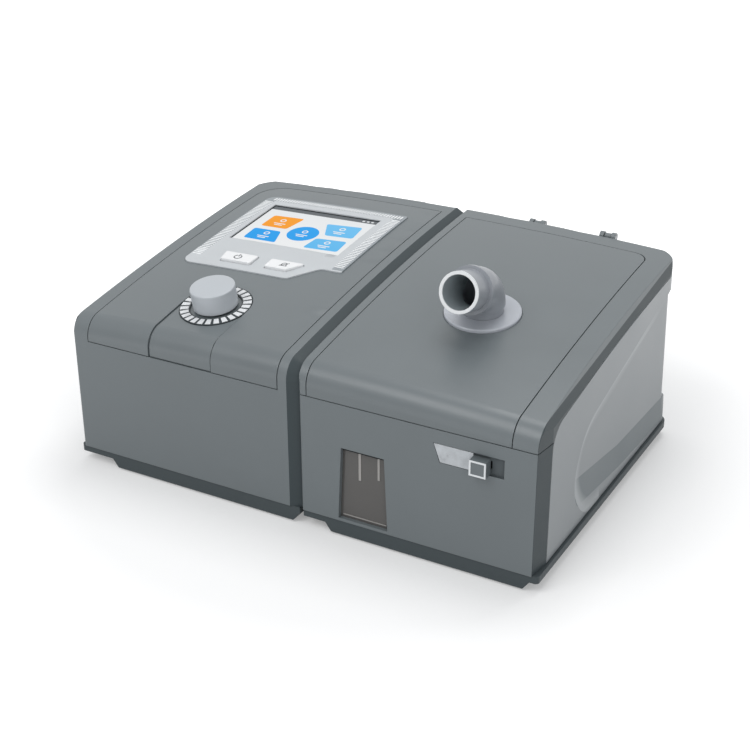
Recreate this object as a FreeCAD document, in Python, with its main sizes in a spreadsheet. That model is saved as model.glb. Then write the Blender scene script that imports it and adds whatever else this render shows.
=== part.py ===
import FreeCAD, Part
import math
import os
import Sketcher
from FreeCAD import Placement, Rotation, Vector

# Positive airway pressure machine with a docked heated humidifier.
# Millimetres. +X is the user's right, -Y is the front, +Z is up; the origin is the
# centre of the outline on the table top.

DIMENSIONS = {
    # outline of the two units
    "main_width": 147.2,
    "unit_gap": 0.8,
    "hum_width": 134.0,
    "depth": 198.0,
    "front_height": 83.4,
    "back_height": 107.8,
    "top_sag": 3.46,
    "crown_drop": 4.4,
    "front_radius": 12.0,
    "rear_radius": 3.0,
    "rear_corner": 20.0,
    "foot_corner": 9.5,
    "front_corner": 3.0,
    "dock_corner": 2.0,
    "wall": 2.5,
    "gap": 0.3,
    "snug": 0.1,
    # feet, plinth and base strip
    "foot_proud": 1.2,
    "foot_radius": 6.0,
    "foot_inset": 16.0,
    "plinth_height": 4.8,
    "plinth_slant": 3.6,
    "plinth_rear": 8.0,
    "main_plinth_left": 20.7,
    "main_plinth_right": 1.5,
    "hum_plinth_left": 14.0,
    "hum_plinth_right": 3.0,
    "strip_height": 4.0,
    "strip_inset": 0.8,
    "strip_lap": 1.5,
    "strip_floor": 1.6,
    "tray_inset": 6.6,
    # seams between covers
    "seam_height": 68.0,
    "seam": 0.5,
    "ledge": 4.0,
    "ledge_thick": 1.6,
    "edge_run": 6.5,
    "edge_drop": 3.0,
    "dock_wall": 4.5,
    "side_strip": 14.0,
    "side_bevel": 1.8,
    "side_bevel_drop": 5.0,
    "band_drop": 7.0,
    "side_radius": 14.0,
    "side_thick": 2.4,
    "side_wrap": 7.0,
    "leaf_deep": 1.4,
    "leaf_lean": 2.2,
    # control panel
    "panel_left": 11.8,
    "panel_right": 12.2,
    "panel_rear": 12.2,
    "panel_corner": 16.0,
    "screen_in": 71.4,
    "screen_back": 65.4,
    "screen_width": 75.0,
    "screen_depth": 51.4,
    "bezel_left": 48.2,
    "bezel_right": 49.8,
    "bezel_front": 59.6,
    "bezel_rear": 36.8,
    "bezel_proud": 0.6,
    "bezel_sunk": 0.8,
    "bezel_corner": 6.0,
    "bezel_step": 16.6,
    "bezel_slant_low": 26.0,
    "bezel_slant_high": 13.0,
    "bezel_step_corner": 1.5,
    "lens_thick": 2.0,
    "lcd_thick": 5.6,
    "lcd_lap": 4.0,
    "board_thick": 1.6,
    "board_lap": 7.0,
    "key_width": 22.0,
    "key_depth": 9.6,
    "key_y": -48.4,
    "power_x": -16.0,
    "mute_x": 15.4,
    "key_proud": 1.2,
    "key_travel": 0.8,
    "key_clear": 0.45,
    "key_round": 0.8,
    "key_corner": 0.6,
    "key_slant": 2.0,
    "key_long_slant": 7.0,
    "key_flange": 1.0,
    "key_stem": 1.5,
    "switch_side": 6.0,
    "switch_height": 3.5,
    "switch_rest": 0.2,
    # dial
    "dial_in": 73.3,
    "dial_deep": 36.0,
    "knob_radius": 12.5,
    "knob_height": 12.0,
    "knob_lift": 0.2,
    "knob_wall": 2.0,
    "hub_radius": 5.2,
    "dial_travel": 0.8,
    "ring_outer": 20.2,
    "ring_inner": 14.4,
    "ring_thick": 0.8,
    "dish_depth": 1.0,
    "tongue_drop": 0.6,
    "groove": 0.7,
    "shaft_radius": 3.0,
    "shaft_low": 4.5,
    "bush_radius": 4.5,
    "encoder_side": 12.0,
    "encoder_deep": 9.2,
    "plunger_step": 0.5,
    "plunger_length": 2.0,
    "running_fit": 0.04,
    # blower
    "blower_in": 48.2,
    "blower_back": 63.0,
    "blower_lift": 36.4,
    "volute_radius": 34.0,
    "volute_height": 22.0,
    "volute_wall": 2.2,
    "impeller_radius": 27.0,
    "impeller_height": 9.0,
    "inlet_radius": 12.0,
    "motor_radius": 17.0,
    "motor_height": 20.0,
    "motor_shaft": 1.5,
    "bearing_radius": 4.0,
    "bearing_width": 3.0,
    "bearing_step": 1.4,
    "bearing_boss": 2.0,
    "press_fit": 0.02,
    "can_wall": 1.6,
    "stator_deep": 6.0,
    "stator_lift": 5.8,
    "stator_height": 9.2,
    "air_gap": 0.6,
    "impeller_lift": 1.6,
    "backplate_thick": 1.2,
    "blade_count": 9,
    "blade_root": 8.0,
    "blade_sweep": 8.0,
    "blade_thick": 1.2,
    "duct_radius": 9.0,
    "duct_wall": 1.6,
    "nozzle_reach": 8.0,
    "mount_radius": 3.6,
    "mount_height": 6.0,
    "mount_reach": 19.0,
    "post_radius": 4.0,
    "peg_radius": 2.2,
    "peg_inset": 5.0,
    # air intake
    "box_in": 21.0,
    "box_width": 38.0,
    "box_depth": 79.0,
    "box_lift": 2.9,
    "box_rise": 6.0,
    "box_wall": 2.0,
    "filter_width": 30.0,
    "filter_height": 42.0,
    "filter_thick": 6.0,
    "filter_lift": 36.0,
    "cover_edge": 3.0,
    "louvre_count": 9,
    "louvre_pitch": 4.5,
    "louvre_slot": 2.0,
    "intake_height": 12.0,
    "foam_height": 52.0,
    "foam_length": 46.0,
    "foam_side": 9.0,
    "foam_floor": 12.0,
    # boards and sockets in the main unit
    "board_in": 25.0,
    "board_width": 98.0,
    "board_deep": 11.0,
    "board_depth": 60.0,
    "board_lift": 8.4,
    "sink_x": 10.0,
    "sink_y": 34.0,
    "sink_length": 36.0,
    "sink_depth": 20.0,
    "sink_base": 3.0,
    "sink_height": 18.0,
    "fin_count": 7,
    "fin_thick": 1.8,
    "capacitor_x": 60.0,
    "capacitor_y": 46.0,
    "capacitor_pitch": 12.0,
    "capacitor_radius": 5.0,
    "capacitor_height": 16.0,
    "choke_x": 82.0,
    "choke_y": 24.0,
    "choke_inner": 4.0,
    "choke_outer": 9.0,
    "choke_height": 8.0,
    "plug_x": 16.0,
    "plug_y": 4.0,
    "plug_pitch": 22.0,
    "plug_length": 16.0,
    "plug_depth": 6.0,
    "plug_height": 7.0,
    "chip_x": 24.0,
    "chip_y": 17.0,
    "chip_side": 14.0,
    "chip_height": 1.4,
    "jack_in": 28.2,
    "socket_lift": 20.0,
    "jack_radius": 3.2,
    "jack_collar": 1.1,
    "jack_width": 14.0,
    "jack_height": 12.0,
    "jack_case": 12.0,
    "jack_bore": 10.0,
    "jack_pin": 1.0,
    "jack_pin_back": 2.0,
    "jack_pin_length": 8.5,
    "card_in": 58.2,
    "card_width": 24.0,
    "card_length": 32.0,
    "card_thick": 2.1,
    "card_back": 0.8,
    "card_case_side": 2.0,
    "card_case_wall": 1.6,
    # humidifier
    "tank_inset": 14.0,
    "tank_width": 100.0,
    "tank_front": 9.0,
    "tank_depth": 144.0,
    "tank_lift": 11.4,
    "tank_height": 53.0,
    "tank_wall": 2.0,
    "tank_corner": 8.0,
    "tank_seal": 1.5,
    "tank_cover": 4.5,
    "heater_radius": 42.0,
    "heater_thick": 3.0,
    "carrier_thick": 2.0,
    "carrier_lap": 4.0,
    "tray_thick": 2.0,
    "seal_thick": 3.0,
    "outlet_in": 64.0,
    "outlet_deep": 82.2,
    "outlet_radius": 11.0,
    "outlet_bore": 9.2,
    "outlet_tilt": 15.0,
    "elbow_rise": 15.0,
    "elbow_radius": 12.0,
    "elbow_bend": 14.0,
    "elbow_reach": 30.0,
    "collar_radius": 13.0,
    "collar_back": 13.5,
    "collar_length": 2.4,
    "flange_radius": 20.6,
    "flange_proud": 1.6,
    "flange_bevel": 0.6,
    "flange_sunk": 0.6,
    "sleeve_wall": 1.4,
    "socket_depth": 7.0,
    "chimney_radius": 15.5,
    "chimney_wall": 2.8,
    "chimney_rise": 20.0,
    "window_top": 25.0,
    "window_bottom": 29.0,
    "window_x": 37.3,
    "window_low": 1.6,
    "window_high": 43.6,
    "pane_thick": 2.0,
    "pane_lap": 2.5,
    # lid
    "lid_left": 5.0,
    "lid_right": 15.3,
    "lid_rear": 14.0,
    "lid_corner": 8.0,
    "hinge_proud": 4.5,
    "ear_radius": 2.6,
    "knuckle_radius": 1.9,
    "knuckle_drop": 3.0,
    "hinge_near": 44.4,
    "hinge_far": 88.8,
    "lug_width": 3.8,
    "lug_drop": 10.5,
    "lug_foot": 3.0,
    "ear_width": 2.6,
    "pin_radius": 1.0,
    "tab_gap": 2.0,
    "tab_width": 5.0,
    "tab_height": 6.0,
    "tab_root": 4.0,
    # latch
    "latch_proud": 4.5,
    "latch_x": 77.6,
    "latch_length": 30.3,
    "latch_slant": 3.6,
    "latch_z": 50.6,
    "latch_height": 9.8,
    "latch_travel": 7.0,
    "latch_depth": 1.5,
    "hook_back": 1.8,
    "hook_thick": 2.0,
    "hook_width": 4.0,
    "neck_reach": 6.0,
    "neck_lap": 2.0,
    "neck_inset": 2.8,
    "plate_lap": 1.5,
    "notch_near": 7.5,
    "notch_far": 3.5,
    "thumb_width": 9.0,
    "thumb_height": 8.4,
    # fasteners
    "screw_radius": 1.5,
    "screw_length": 12.0,
    "head_radius": 2.8,
    "head_height": 1.8,
    "slot_width": 0.8,
    "boss_radius": 4.0,
    "boss_inset": 12.0,
    "boss_height": 14.0,
}

LAYOUT = {
    # outline
    "right_x": "(dims.main_width + dims.unit_gap + dims.hum_width) / 2",
    "left_x": "-right_x",
    "main_right": "left_x + dims.main_width",
    "hum_left": "main_right + dims.unit_gap",
    "front_y": "(dims.latch_proud - dims.hinge_proud - dims.depth) / 2",
    "back_y": "front_y + dims.depth",
    "strip_z": "dims.foot_proud + dims.plinth_height",
    "seam_z": "strip_z + dims.strip_height",
    "floor_z": "strip_z + dims.strip_floor",
    "lid_seam_z": "seam_z + dims.seam_height",
    "top_front_z": "seam_z + dims.front_height",
    "top_back_z": "seam_z + dims.back_height",
    "hinge_y": "back_y + dims.hinge_proud - dims.ear_radius",
    "hinge_z": "top_back_z - dims.knuckle_drop",
    # control panel
    "screen_x": "left_x + dims.screen_in",
    "screen_y": "back_y - dims.screen_back",
    "lcd_low": "-dims.lens_thick - dims.bezel_sunk - 2 * dims.gap - dims.lcd_thick",
    "dial_x": "left_x + dims.dial_in",
    "dial_y": "front_y + dims.dial_deep",
    # blower and intake
    "blower_x": "main_right - dims.blower_in",
    "blower_y": "back_y - dims.blower_back",
    "blower_z": "floor_z + dims.blower_lift",
    "mount_z": "blower_z - dims.mount_height",
    "port_y": "blower_y - dims.volute_radius + dims.volute_wall + dims.duct_radius",
    "port_z": "blower_z + dims.volute_height / 2",
    "duct_end": "main_right - dims.dock_wall - 1",
    "box_x": "left_x + dims.box_in",
    "box_front": "back_y - dims.box_depth",
    "box_low": "floor_z + dims.box_lift",
    "box_high": "lid_seam_z + dims.box_rise",
    "filter_z": "seam_z + dims.filter_lift",
    # board and sockets
    "board_x": "left_x + dims.board_in",
    "board_y": "front_y + dims.board_deep",
    "board_z": "floor_z + dims.board_lift",
    "jack_x": "main_right - dims.jack_in",
    "card_x": "main_right - dims.card_in",
    "socket_z": "seam_z + dims.socket_lift",
    # humidifier
    "tank_x": "hum_left + dims.tank_inset",
    "tank_y": "front_y + dims.tank_front",
    "tank_z": "floor_z + dims.tank_lift",
    "tank_top": "tank_z + dims.tank_height",
    "tray_z": "tank_z - dims.tray_thick",
    "carrier_z": "tank_z - dims.heater_thick - dims.carrier_thick",
    "chimney_top": "tank_top + dims.chimney_rise",
    "outlet_x": "hum_left + dims.outlet_in",
    "outlet_y": "front_y + dims.outlet_deep",
    "window_mid": "hum_left + dims.window_x",
    "thumb_x": "hum_left + dims.latch_x + dims.latch_length - dims.thumb_width",
    "latch_low": "seam_z + dims.latch_z",
    "hook_y": "front_y + dims.wall + dims.hook_back",
}

doc = FreeCAD.newDocument("airway_machine")


def make_sheet(name, cells, prefix=""):
    sheet = doc.addObject("Spreadsheet::Sheet", name)
    for row, (alias, content) in enumerate(cells.items(), start=1):
        sheet.set(f"A{row}", prefix + str(content))
        sheet.setAlias(f"A{row}", alias)
    doc.recompute()
    return sheet


dims = make_sheet("dims", DIMENSIONS)
layout = make_sheet("at", LAYOUT, prefix="=")
d = {alias: float(dims.get(alias)) for alias in DIMENSIONS}
at = {alias: float(layout.get(alias)) for alias in LAYOUT}
parts = []

X_AXIS = Vector(1, 0, 0)
Y_AXIS = Vector(0, 1, 0)
Z_AXIS = Vector(0, 0, 1)
REACH = 400.0
HAIR = 0.02     # plan outlines stand this far outside the side outline, so no faces coincide


# ---------------------------------------------------------------- parametric helpers

def new_body(label, x="0", y="0", z="0"):
    """A sub-part whose own origin sits at the given place."""
    body = doc.addObject("PartDesign::Body", label)
    body.Label = label
    for axis, place in zip("xyz", (x, y, z)):
        body.setExpression(f"Placement.Base.{axis}", place)
    parts.append(body)
    return body


def new_sketch(body, role, lift="0"):
    sketch = body.newObject("Sketcher::SketchObject", f"{body.Label}_sketch")
    plane = [item for item in body.Origin.OriginFeatures if item.Role == role][0]
    sketch.AttachmentSupport = (plane, [""])
    sketch.MapMode = "FlatFace"
    sketch.setExpression("AttachmentOffset.Base.z", lift)
    return sketch


def bind(sketch, kind, places, formula, start):
    index = sketch.addConstraint(Sketcher.Constraint(kind, *places, start))
    sketch.setExpression(f"Constraints[{index}]", formula)


def draw_polygon(sketch, corners):
    """Closed outline; each corner is a pair of formulas."""
    first = sketch.GeometryCount
    count = len(corners)
    for step in range(count):
        here = Vector(step, step * step, 0)
        there = Vector(step + 1, (step + 1) ** 2, 0)
        sketch.addGeometry(Part.LineSegment(here, there))
    for step in range(count):
        follower = first + (step + 1) % count
        sketch.addConstraint(Sketcher.Constraint("Coincident", first + step, 2, follower, 1))
    for step, (x, y) in enumerate(corners):
        bind(sketch, "DistanceX", (-1, 1, first + step, 1), x, float(step))
        bind(sketch, "DistanceY", (-1, 1, first + step, 1), y, float(step * step))


def draw_box(sketch, x0, y0, x1, y1):
    draw_polygon(sketch, [(x0, y0), (x1, y0), (x1, y1), (x0, y1)])


def draw_circle(sketch, radius, x="0", y="0"):
    index = sketch.addGeometry(Part.Circle(Vector(1, 1, 0), Z_AXIS, 1.0))
    bind(sketch, "DistanceX", (-1, 1, index, 3), x, 1.0)
    bind(sketch, "DistanceY", (-1, 1, index, 3), y, 1.0)
    bind(sketch, "Radius", (index,), radius, 1.0)


def pad(body, sketch, length):
    feature = body.newObject("PartDesign::Pad", f"{body.Label}_pad")
    feature.Profile = sketch
    feature.setExpression("Length", length)
    sketch.Visibility = False
    return feature


def pocket(body, sketch, length, upward=False):
    """Cut along the sketch's back side, or along its front side when upward."""
    doc.recompute()
    before = body.Shape.Volume
    feature = body.newObject("PartDesign::Pocket", f"{body.Label}_pocket")
    feature.Profile = sketch
    feature.Reversed = upward
    feature.setExpression("Length", length)
    doc.recompute()
    if body.Shape.Volume > before - 1e-3:
        raise RuntimeError(f"{body.Label}: a pocket cut nothing")
    return feature


def revolve(body, sketch, axis="V_Axis", kind="Revolution"):
    feature = body.newObject(f"PartDesign::{kind}", f"{body.Label}_turn")
    feature.Profile = sketch
    feature.ReferenceAxis = (sketch, [axis])
    feature.Angle = 360
    return feature


def turned(label, corners, x="0", y="0", z="0"):
    """Round piece about its own upright axis, from (radius, height) corners."""
    body = new_body(label, x, y, z)
    sketch = new_sketch(body, "XZ_Plane")
    draw_polygon(sketch, corners)
    revolve(body, sketch)
    return body


def slab(label, x0, y0, z0, width, depth, height):
    """Rectangular plate with its low corner at the given place."""
    body = new_body(label, x0, y0, z0)
    sketch = new_sketch(body, "XY_Plane")
    draw_box(sketch, "0", "0", width, depth)
    pad(body, sketch, height)
    return body


def round_edges(body, radius, chosen):
    """Fillet the edges for which chosen(edge) is true."""
    doc.recompute()
    base = body.Tip
    names = [f"Edge{i}" for i, edge in enumerate(base.Shape.Edges, start=1) if chosen(edge)]
    feature = body.newObject("PartDesign::Fillet", f"{body.Label}_fillet")
    feature.Base = (base, names)
    feature.setExpression("Radius", radius)
    return feature


def put_shape(label, shape, frame=None):
    """Free-form piece that takes its sizes from the sheets."""
    feature = doc.addObject("Part::Feature", label)
    feature.Label = label
    feature.Shape = shape.removeSplitter()
    if frame:
        feature.Placement = frame
    parts.append(feature)
    return feature


# ---------------------------------------------------------------- outer form

def top_arc():
    """Centre (y, z) and radius of the long arc along the top, at mid width."""
    chord = Vector(0, d["depth"], at["top_back_z"] - at["top_front_z"])
    half = chord.Length / 2
    radius = (half * half + d["top_sag"] ** 2) / (2 * d["top_sag"])
    middle = Vector(0, (at["front_y"] + at["back_y"]) / 2, (at["top_front_z"] + at["top_back_z"]) / 2)
    inward = Vector(0, chord.z, -chord.y).normalize()
    return middle + inward * (radius - d["top_sag"]), radius


ARC_CENTRE, ARC_RADIUS = top_arc()
CROWN_RADIUS = (at["right_x"] ** 2 + d["crown_drop"] ** 2) / (2 * d["crown_drop"])
CROWN_CENTRE = Vector(0, 0, (at["top_front_z"] + at["top_back_z"]) / 2 + d["top_sag"] - CROWN_RADIUS)


def side_curve(front, drop, corner, rear, rear_corner, bottom):
    """Front line, front arc, long top arc, rear arc and rear line, closed at the bottom."""
    radius = ARC_RADIUS - drop
    front_y = at["front_y"] + front
    rear_y = at["back_y"] - rear

    def corner_points(y, r, inward):
        centre_y = y + inward * r
        rise = math.sqrt((radius - r) ** 2 - (centre_y - ARC_CENTRE.y) ** 2)
        centre = Vector(0, centre_y, ARC_CENTRE.z + rise)
        start = Vector(0, y, centre.z)
        out = (centre - ARC_CENTRE).normalize()
        end = ARC_CENTRE + out * radius
        half = (Vector(0, -inward, 0) + out).normalize()
        return start, centre + half * r, end

    a, ab, b = corner_points(front_y, corner, 1)
    c, cd, e = corner_points(rear_y, rear_corner, -1)
    middle = ARC_CENTRE + ((b + e) * 0.5 - ARC_CENTRE).normalize() * radius
    low_front = Vector(0, front_y, bottom)
    low_rear = Vector(0, rear_y, bottom)
    edges = [
        Part.LineSegment(low_front, a).toShape(),
        Part.Arc(a, ab, b).toShape(),
        Part.Arc(b, middle, e).toShape(),
        Part.Arc(e, cd, c).toShape(),
        Part.LineSegment(c, low_rear).toShape(),
        Part.LineSegment(low_rear, low_front).toShape(),
    ]
    return Part.Wire(edges)


def crowned(wire):
    """Sweep a side outline across the width, along the crown."""
    angle = math.degrees(math.asin(1.2 * at["right_x"] / CROWN_RADIUS))
    face = Part.Face(wire)
    face.rotate(CROWN_CENTRE, Y_AXIS, -angle)
    return face.revolve(CROWN_CENTRE, Y_AXIS, 2 * angle)


def hull(offset=0.0):
    """Everything under the outer surface, moved inwards by offset."""
    corner = max(d["front_radius"] - offset, d["gap"])
    rear = max(d["rear_radius"] - offset, d["gap"])
    return crowned(side_curve(offset, offset, corner, offset, rear, -REACH / 4))


def under_band(clearance=0.0):
    """Everything under the lid's edge band, up to the side panels' outline."""
    low = d["band_drop"] + clearance
    front = d["side_strip"] + clearance
    return crowned(side_curve(front, low, d["side_radius"], -d["wall"], d["gap"], -REACH / 4))


def outline(x0, y0, x1, y1, radii=(0, 0, 0, 0)):
    """Upright prism over a rectangle; corner radii start at the front left, anticlockwise."""
    corners = [Vector(x0, y0, 0), Vector(x1, y0, 0), Vector(x1, y1, 0), Vector(x0, y1, 0)]
    return prism(corners, radii)


def body_outline(x0, y0, x1, y1, low_radii, high_radii):
    """Upright body over a rectangle whose corner radii grow from the base to the top."""
    corners = [Vector(x0, y0, 0), Vector(x1, y0, 0), Vector(x1, y1, 0), Vector(x0, y1, 0)]
    growth = (REACH - at["seam_z"]) / (at["top_back_z"] - at["seam_z"])
    far_radii = [low + (high - low) * growth for low, high in zip(low_radii, high_radii)]
    foot = rounded_wire(corners, low_radii, at["seam_z"])
    head = rounded_wire(corners, far_radii, REACH)
    return Part.makeLoft([foot, head], True, True)


def prism(corners, radii, low=None, high=REACH):
    """Upright prism over a polygon with rounded corners."""
    low = at["seam_z"] if low is None else low
    return Part.Face(rounded_wire(corners, radii, low)).extrude(Vector(0, 0, high - low))


def rounded_wire(corners, radii, level):
    """Polygon with rounded corners, at a level."""
    edges = []
    count = len(corners)
    starts = []
    for index, (corner, radius) in enumerate(zip(corners, radii)):
        before = (corners[index - 1] - corner).normalize()
        after = (corners[(index + 1) % count] - corner).normalize()
        half_turn = before.getAngle(after) / 2
        if radius <= 0:
            starts.append((corner, corner))
            continue
        tangent = radius / math.tan(half_turn)
        centre = corner + (before + after).normalize() * (radius / math.sin(half_turn))
        first = corner + before * tangent
        last = corner + after * tangent
        middle = centre + (corner - centre).normalize() * radius
        edges.append(Part.Arc(first, middle, last).toShape())
        starts.append((first, last))
    for index in range(count):
        leave = starts[index][1]
        arrive = starts[(index + 1) % count][0]
        if (arrive - leave).Length > 1e-6:
            edges.append(Part.LineSegment(leave, arrive).toShape())
    wire = Part.Wire(Part.__sortEdges__(edges))
    wire.translate(Vector(0, 0, level))
    return wire


def box(x0, y0, z0, x1, y1, z1):
    return Part.makeBox(x1 - x0, y1 - y0, z1 - z0, Vector(x0, y0, z0))


def tube(inner, outer, height, base=Vector(), axis=Z_AXIS):
    pipe = Part.makeCylinder(outer, height, base, axis)
    return pipe.cut(Part.makeCylinder(inner, height, base, axis))


def above(z):
    return box(-REACH, -REACH, z, REACH, REACH, REACH)


def below(z):
    return box(-REACH, -REACH, -REACH, REACH, REACH, z)


def surface_z(x, y):
    """Height of the outer surface over a place on the plan."""
    middle = ARC_CENTRE.z + math.sqrt(ARC_RADIUS ** 2 - (y - ARC_CENTRE.y) ** 2)
    return CROWN_CENTRE.z + math.sqrt((middle - CROWN_CENTRE.z) ** 2 - x * x)


def surface_frame(x, y):
    """Frame on the outer surface whose Z stands square to it."""
    step = 0.5
    slope_x = (surface_z(x + step, y) - surface_z(x - step, y)) / (2 * step)
    slope_y = (surface_z(x, y + step) - surface_z(x, y - step)) / (2 * step)
    normal = Vector(-slope_x, -slope_y, 1).normalize()
    return Placement(Vector(x, y, surface_z(x, y)), Rotation(Z_AXIS, normal))


def placed(shape, frame):
    moved = shape.copy()
    moved.Placement = frame.multiply(moved.Placement)
    return moved


SCREEN = surface_frame(at["screen_x"], at["screen_y"])
DIAL = surface_frame(at["dial_x"], at["dial_y"])
OUTLET = surface_frame(at["outlet_x"], at["outlet_y"])


def main_plan(inset=0.0, dock_inset=None):
    """Plan of the main unit without its bevelled dock edge."""
    dock_inset = inset if dock_inset is None else dock_inset
    foot, head = (max(d[name] - inset, d["gap"]) for name in ("foot_corner", "rear_corner"))
    front = max(d["front_corner"] - inset, d["gap"])
    return body_outline(at["left_x"] + inset, at["front_y"] + inset - HAIR, at["main_right"] - dock_inset,
                        at["back_y"] - inset + HAIR, (front, 0, 0, foot), (front, 0, 0, head))


def hum_plan(inset=0.0):
    """Plan of the humidifier."""
    foot, head = (max(d[name] - inset, d["gap"]) for name in ("foot_corner", "rear_corner"))
    front = max(d["front_corner"] - inset, d["gap"])
    dock = max(d["dock_corner"] - inset, d["gap"])
    return body_outline(at["hum_left"] + inset, at["front_y"] + inset - HAIR, at["right_x"] - inset,
                        at["back_y"] - inset + HAIR, (dock, front, foot, dock), (dock, front, head, dock))


def dock_edge():
    """Main unit's volume up to the bevel along its dock side."""
    start = at["main_right"] - d["edge_run"]
    flat = box(-REACH, -REACH, at["seam_z"], start, REACH, REACH)
    drop = d["edge_drop"]
    outer = side_curve(0, 0, d["front_radius"], 0, d["rear_radius"], at["seam_z"])
    inner = side_curve(drop, drop, d["front_radius"] - drop, drop, d["gap"], at["seam_z"])
    outer.translate(Vector(start, 0, 0))
    inner.translate(Vector(at["main_right"], 0, 0))
    return flat.fuse(Part.makeLoft([outer, inner], True, True))


def side_cutter(side):
    """Tilted wedge that bevels the top edge beside a side panel; side is -1 left, 1 right."""
    run = d["side_bevel"]
    y0 = at["front_y"]
    y1 = at["back_y"]
    edge = at["right_x"]
    low0 = surface_z(edge, y0 + d["front_radius"]) - d["side_bevel_drop"]
    low1 = surface_z(edge, y1) - d["side_bevel_drop"]
    rise = (low1 - low0) / (y1 - y0 - d["front_radius"])
    low0 -= rise * d["front_radius"]
    high = d["side_bevel_drop"]
    low = Vector(edge, y0, low0)
    reach = Vector(0, 0, high * 3)
    profile = [low, low + reach - Vector(run * 3, 0, 0), low + reach + Vector(run, 0, 0), low]
    wedge = Part.Face(Part.makePolygon(profile)).extrude(Vector(0, y1 - y0, rise * (y1 - y0)))
    if side < 0:
        wedge = wedge.mirror(Vector(), X_AXIS)
    return wedge


def front_cutter(side):
    """Shallow upright bevel at the front outer corner, as deep as the dark corner strip."""
    edge = at["right_x"]
    y0 = at["front_y"]
    run = d["side_bevel"]
    corner = [Vector(edge - run, y0, 0), Vector(edge, y0 + d["side_strip"], 0), Vector(edge + run, y0, 0)]
    wedge = prism(corner, (0, 0, 0), -REACH, REACH)
    if side < 0:
        wedge = wedge.mirror(Vector(), X_AXIS)
    return wedge


MAIN_OUTER = hull().common(main_plan()).common(dock_edge()).cut(side_cutter(-1)).cut(front_cutter(-1))
MAIN_INNER = hull(d["wall"]).common(main_plan(d["wall"], d["dock_wall"]))
HUM_OUTER = hull().common(hum_plan()).cut(side_cutter(1)).cut(front_cutter(1))
HUM_INNER = hull(d["wall"]).common(hum_plan(d["wall"]))


# ---------------------------------------------------------------- side panels

# The leaf-shaped recess of a side panel. All places are measured from the front face and the bottom of
# the panel: its edge from the upper rear round the tip to the lower rear, and three sections of its lower
# slope, each with the slope's lower edge and the line where it meets the floor of the recess.
LEAF_EDGE = [(175.0, 84.0), (119.0, 69.5), (76.0, 59.0), (56.5, 48.5), (48.5, 36.0), (48.5, 22.0),
             (53.5, 12.6), (80.0, 8.6), (111.0, 6.0), (170.0, 2.0)]
LEAF_REAR = 92.0
LEAF_BACK = 0.6     # the upper wall leans this much to the rear and this much downwards
LEAF_DOWN = 0.8
LEAF_SLOPE = [(40.0, 14.0, 30.5), (114.0, 5.8, 19.4), (210.0, 0.0, 14.8)]


def leaf_face():
    """Flat leaf in the plane of the side, open towards the rear."""
    y, z, edge = at["front_y"], at["seam_z"], at["right_x"]
    points = [Vector(edge, y + a, z + b) for a, b in LEAF_EDGE]
    curve = Part.BSplineCurve()
    curve.interpolate(points)
    back = y + d["depth"]
    rear = [points[-1], Vector(edge, back, z), Vector(edge, back, z + LEAF_REAR), points[0]]
    edges = [curve.toShape()]
    for start, end in zip(rear, rear[1:]):
        edges.append(Part.LineSegment(start, end).toShape())
    return Part.Face(Part.Wire(edges))


def leaf_slope():
    """Space above the lower slope of the recess."""
    sections = []
    edge, z = at["right_x"], at["seam_z"]
    inside, outside = edge - 2 * d["rear_corner"], edge + d["rear_corner"]
    for a, low, line in LEAF_SLOPE:
        y = at["front_y"] + a
        top = z + d["back_height"]
        corners = [Vector(outside, y, z + low), Vector(edge, y, z + low),
                   Vector(edge - d["leaf_deep"], y, z + line), Vector(inside, y, z + line),
                   Vector(inside, y, top), Vector(outside, y, top)]
        sections.append(Part.makePolygon(corners + corners[:1]))
    return Part.makeLoft(sections, True, True)


def leaf_recess(side, plan):
    """Recess with a slanted upper wall; its floor follows the side round the rear corner."""
    face = leaf_face()
    lean = Vector(-1, LEAF_BACK * d["leaf_lean"], -LEAF_DOWN * d["leaf_lean"]) * d["leaf_deep"]
    inner = face.copy()
    inner.translate(lean)
    space = face.extrude(Vector(d["rear_corner"], 0, 0)).fuse(face.extrude(lean))
    space = space.fuse(inner.extrude(Vector(-d["rear_corner"], 0, 0))).common(leaf_slope())
    if side < 0:
        space = space.mirror(Vector(), X_AXIS)
    return space.cut(plan(d["leaf_deep"]))


def side_zone(side, clearance):
    """Space of a side panel between the corner strip and the wrapped rear corner."""
    x0 = at["right_x"] - d["side_wrap"] - clearance
    y0 = at["front_y"] + d["side_strip"] - clearance
    zone = box(x0, y0, at["seam_z"], REACH, REACH, REACH)
    if side < 0:
        zone = zone.mirror(Vector(), X_AXIS)
    return zone


def side_panel(label, side, plan, outer):
    """Lighter cover set into the side, with its leaf-shaped recess, round to the rear corner."""
    zone = under_band(d["seam"]).common(side_zone(side, -d["seam"] / 2))
    panel = outer.common(zone).cut(plan(d["side_thick"]))
    panel = panel.common(above(at["seam_z"] + d["seam"]))
    return put_shape(label, panel.cut(leaf_recess(side, plan)))


def side_seat(side, plan, outer):
    """What the shell leaves free for its side panel."""
    zone = outer.common(under_band(0)).common(side_zone(side, d["seam"] / 2))
    return zone.cut(plan(d["side_thick"] + d["seam"] / 3))


# ---------------------------------------------------------------- main unit covers

PANEL_X0 = at["left_x"] + d["panel_left"]
PANEL_X1 = at["main_right"] - d["panel_right"]
PANEL_Y1 = at["back_y"] - d["panel_rear"]


def cover_plan(x0, x1, y1, rear_left, rear_right, grow):
    """Plan prism of an inset cover that starts at the front face."""
    return outline(x0 - grow, at["front_y"] - REACH / 8, x1 + grow, y1 + grow,
                   (0, 0, rear_right, rear_left)).common(above(at["lid_seam_z"] - grow))


def panel_plan(grow):
    corner = d["panel_corner"]
    return cover_plan(PANEL_X0, PANEL_X1, PANEL_Y1, corner, d["gap"], grow)


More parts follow.
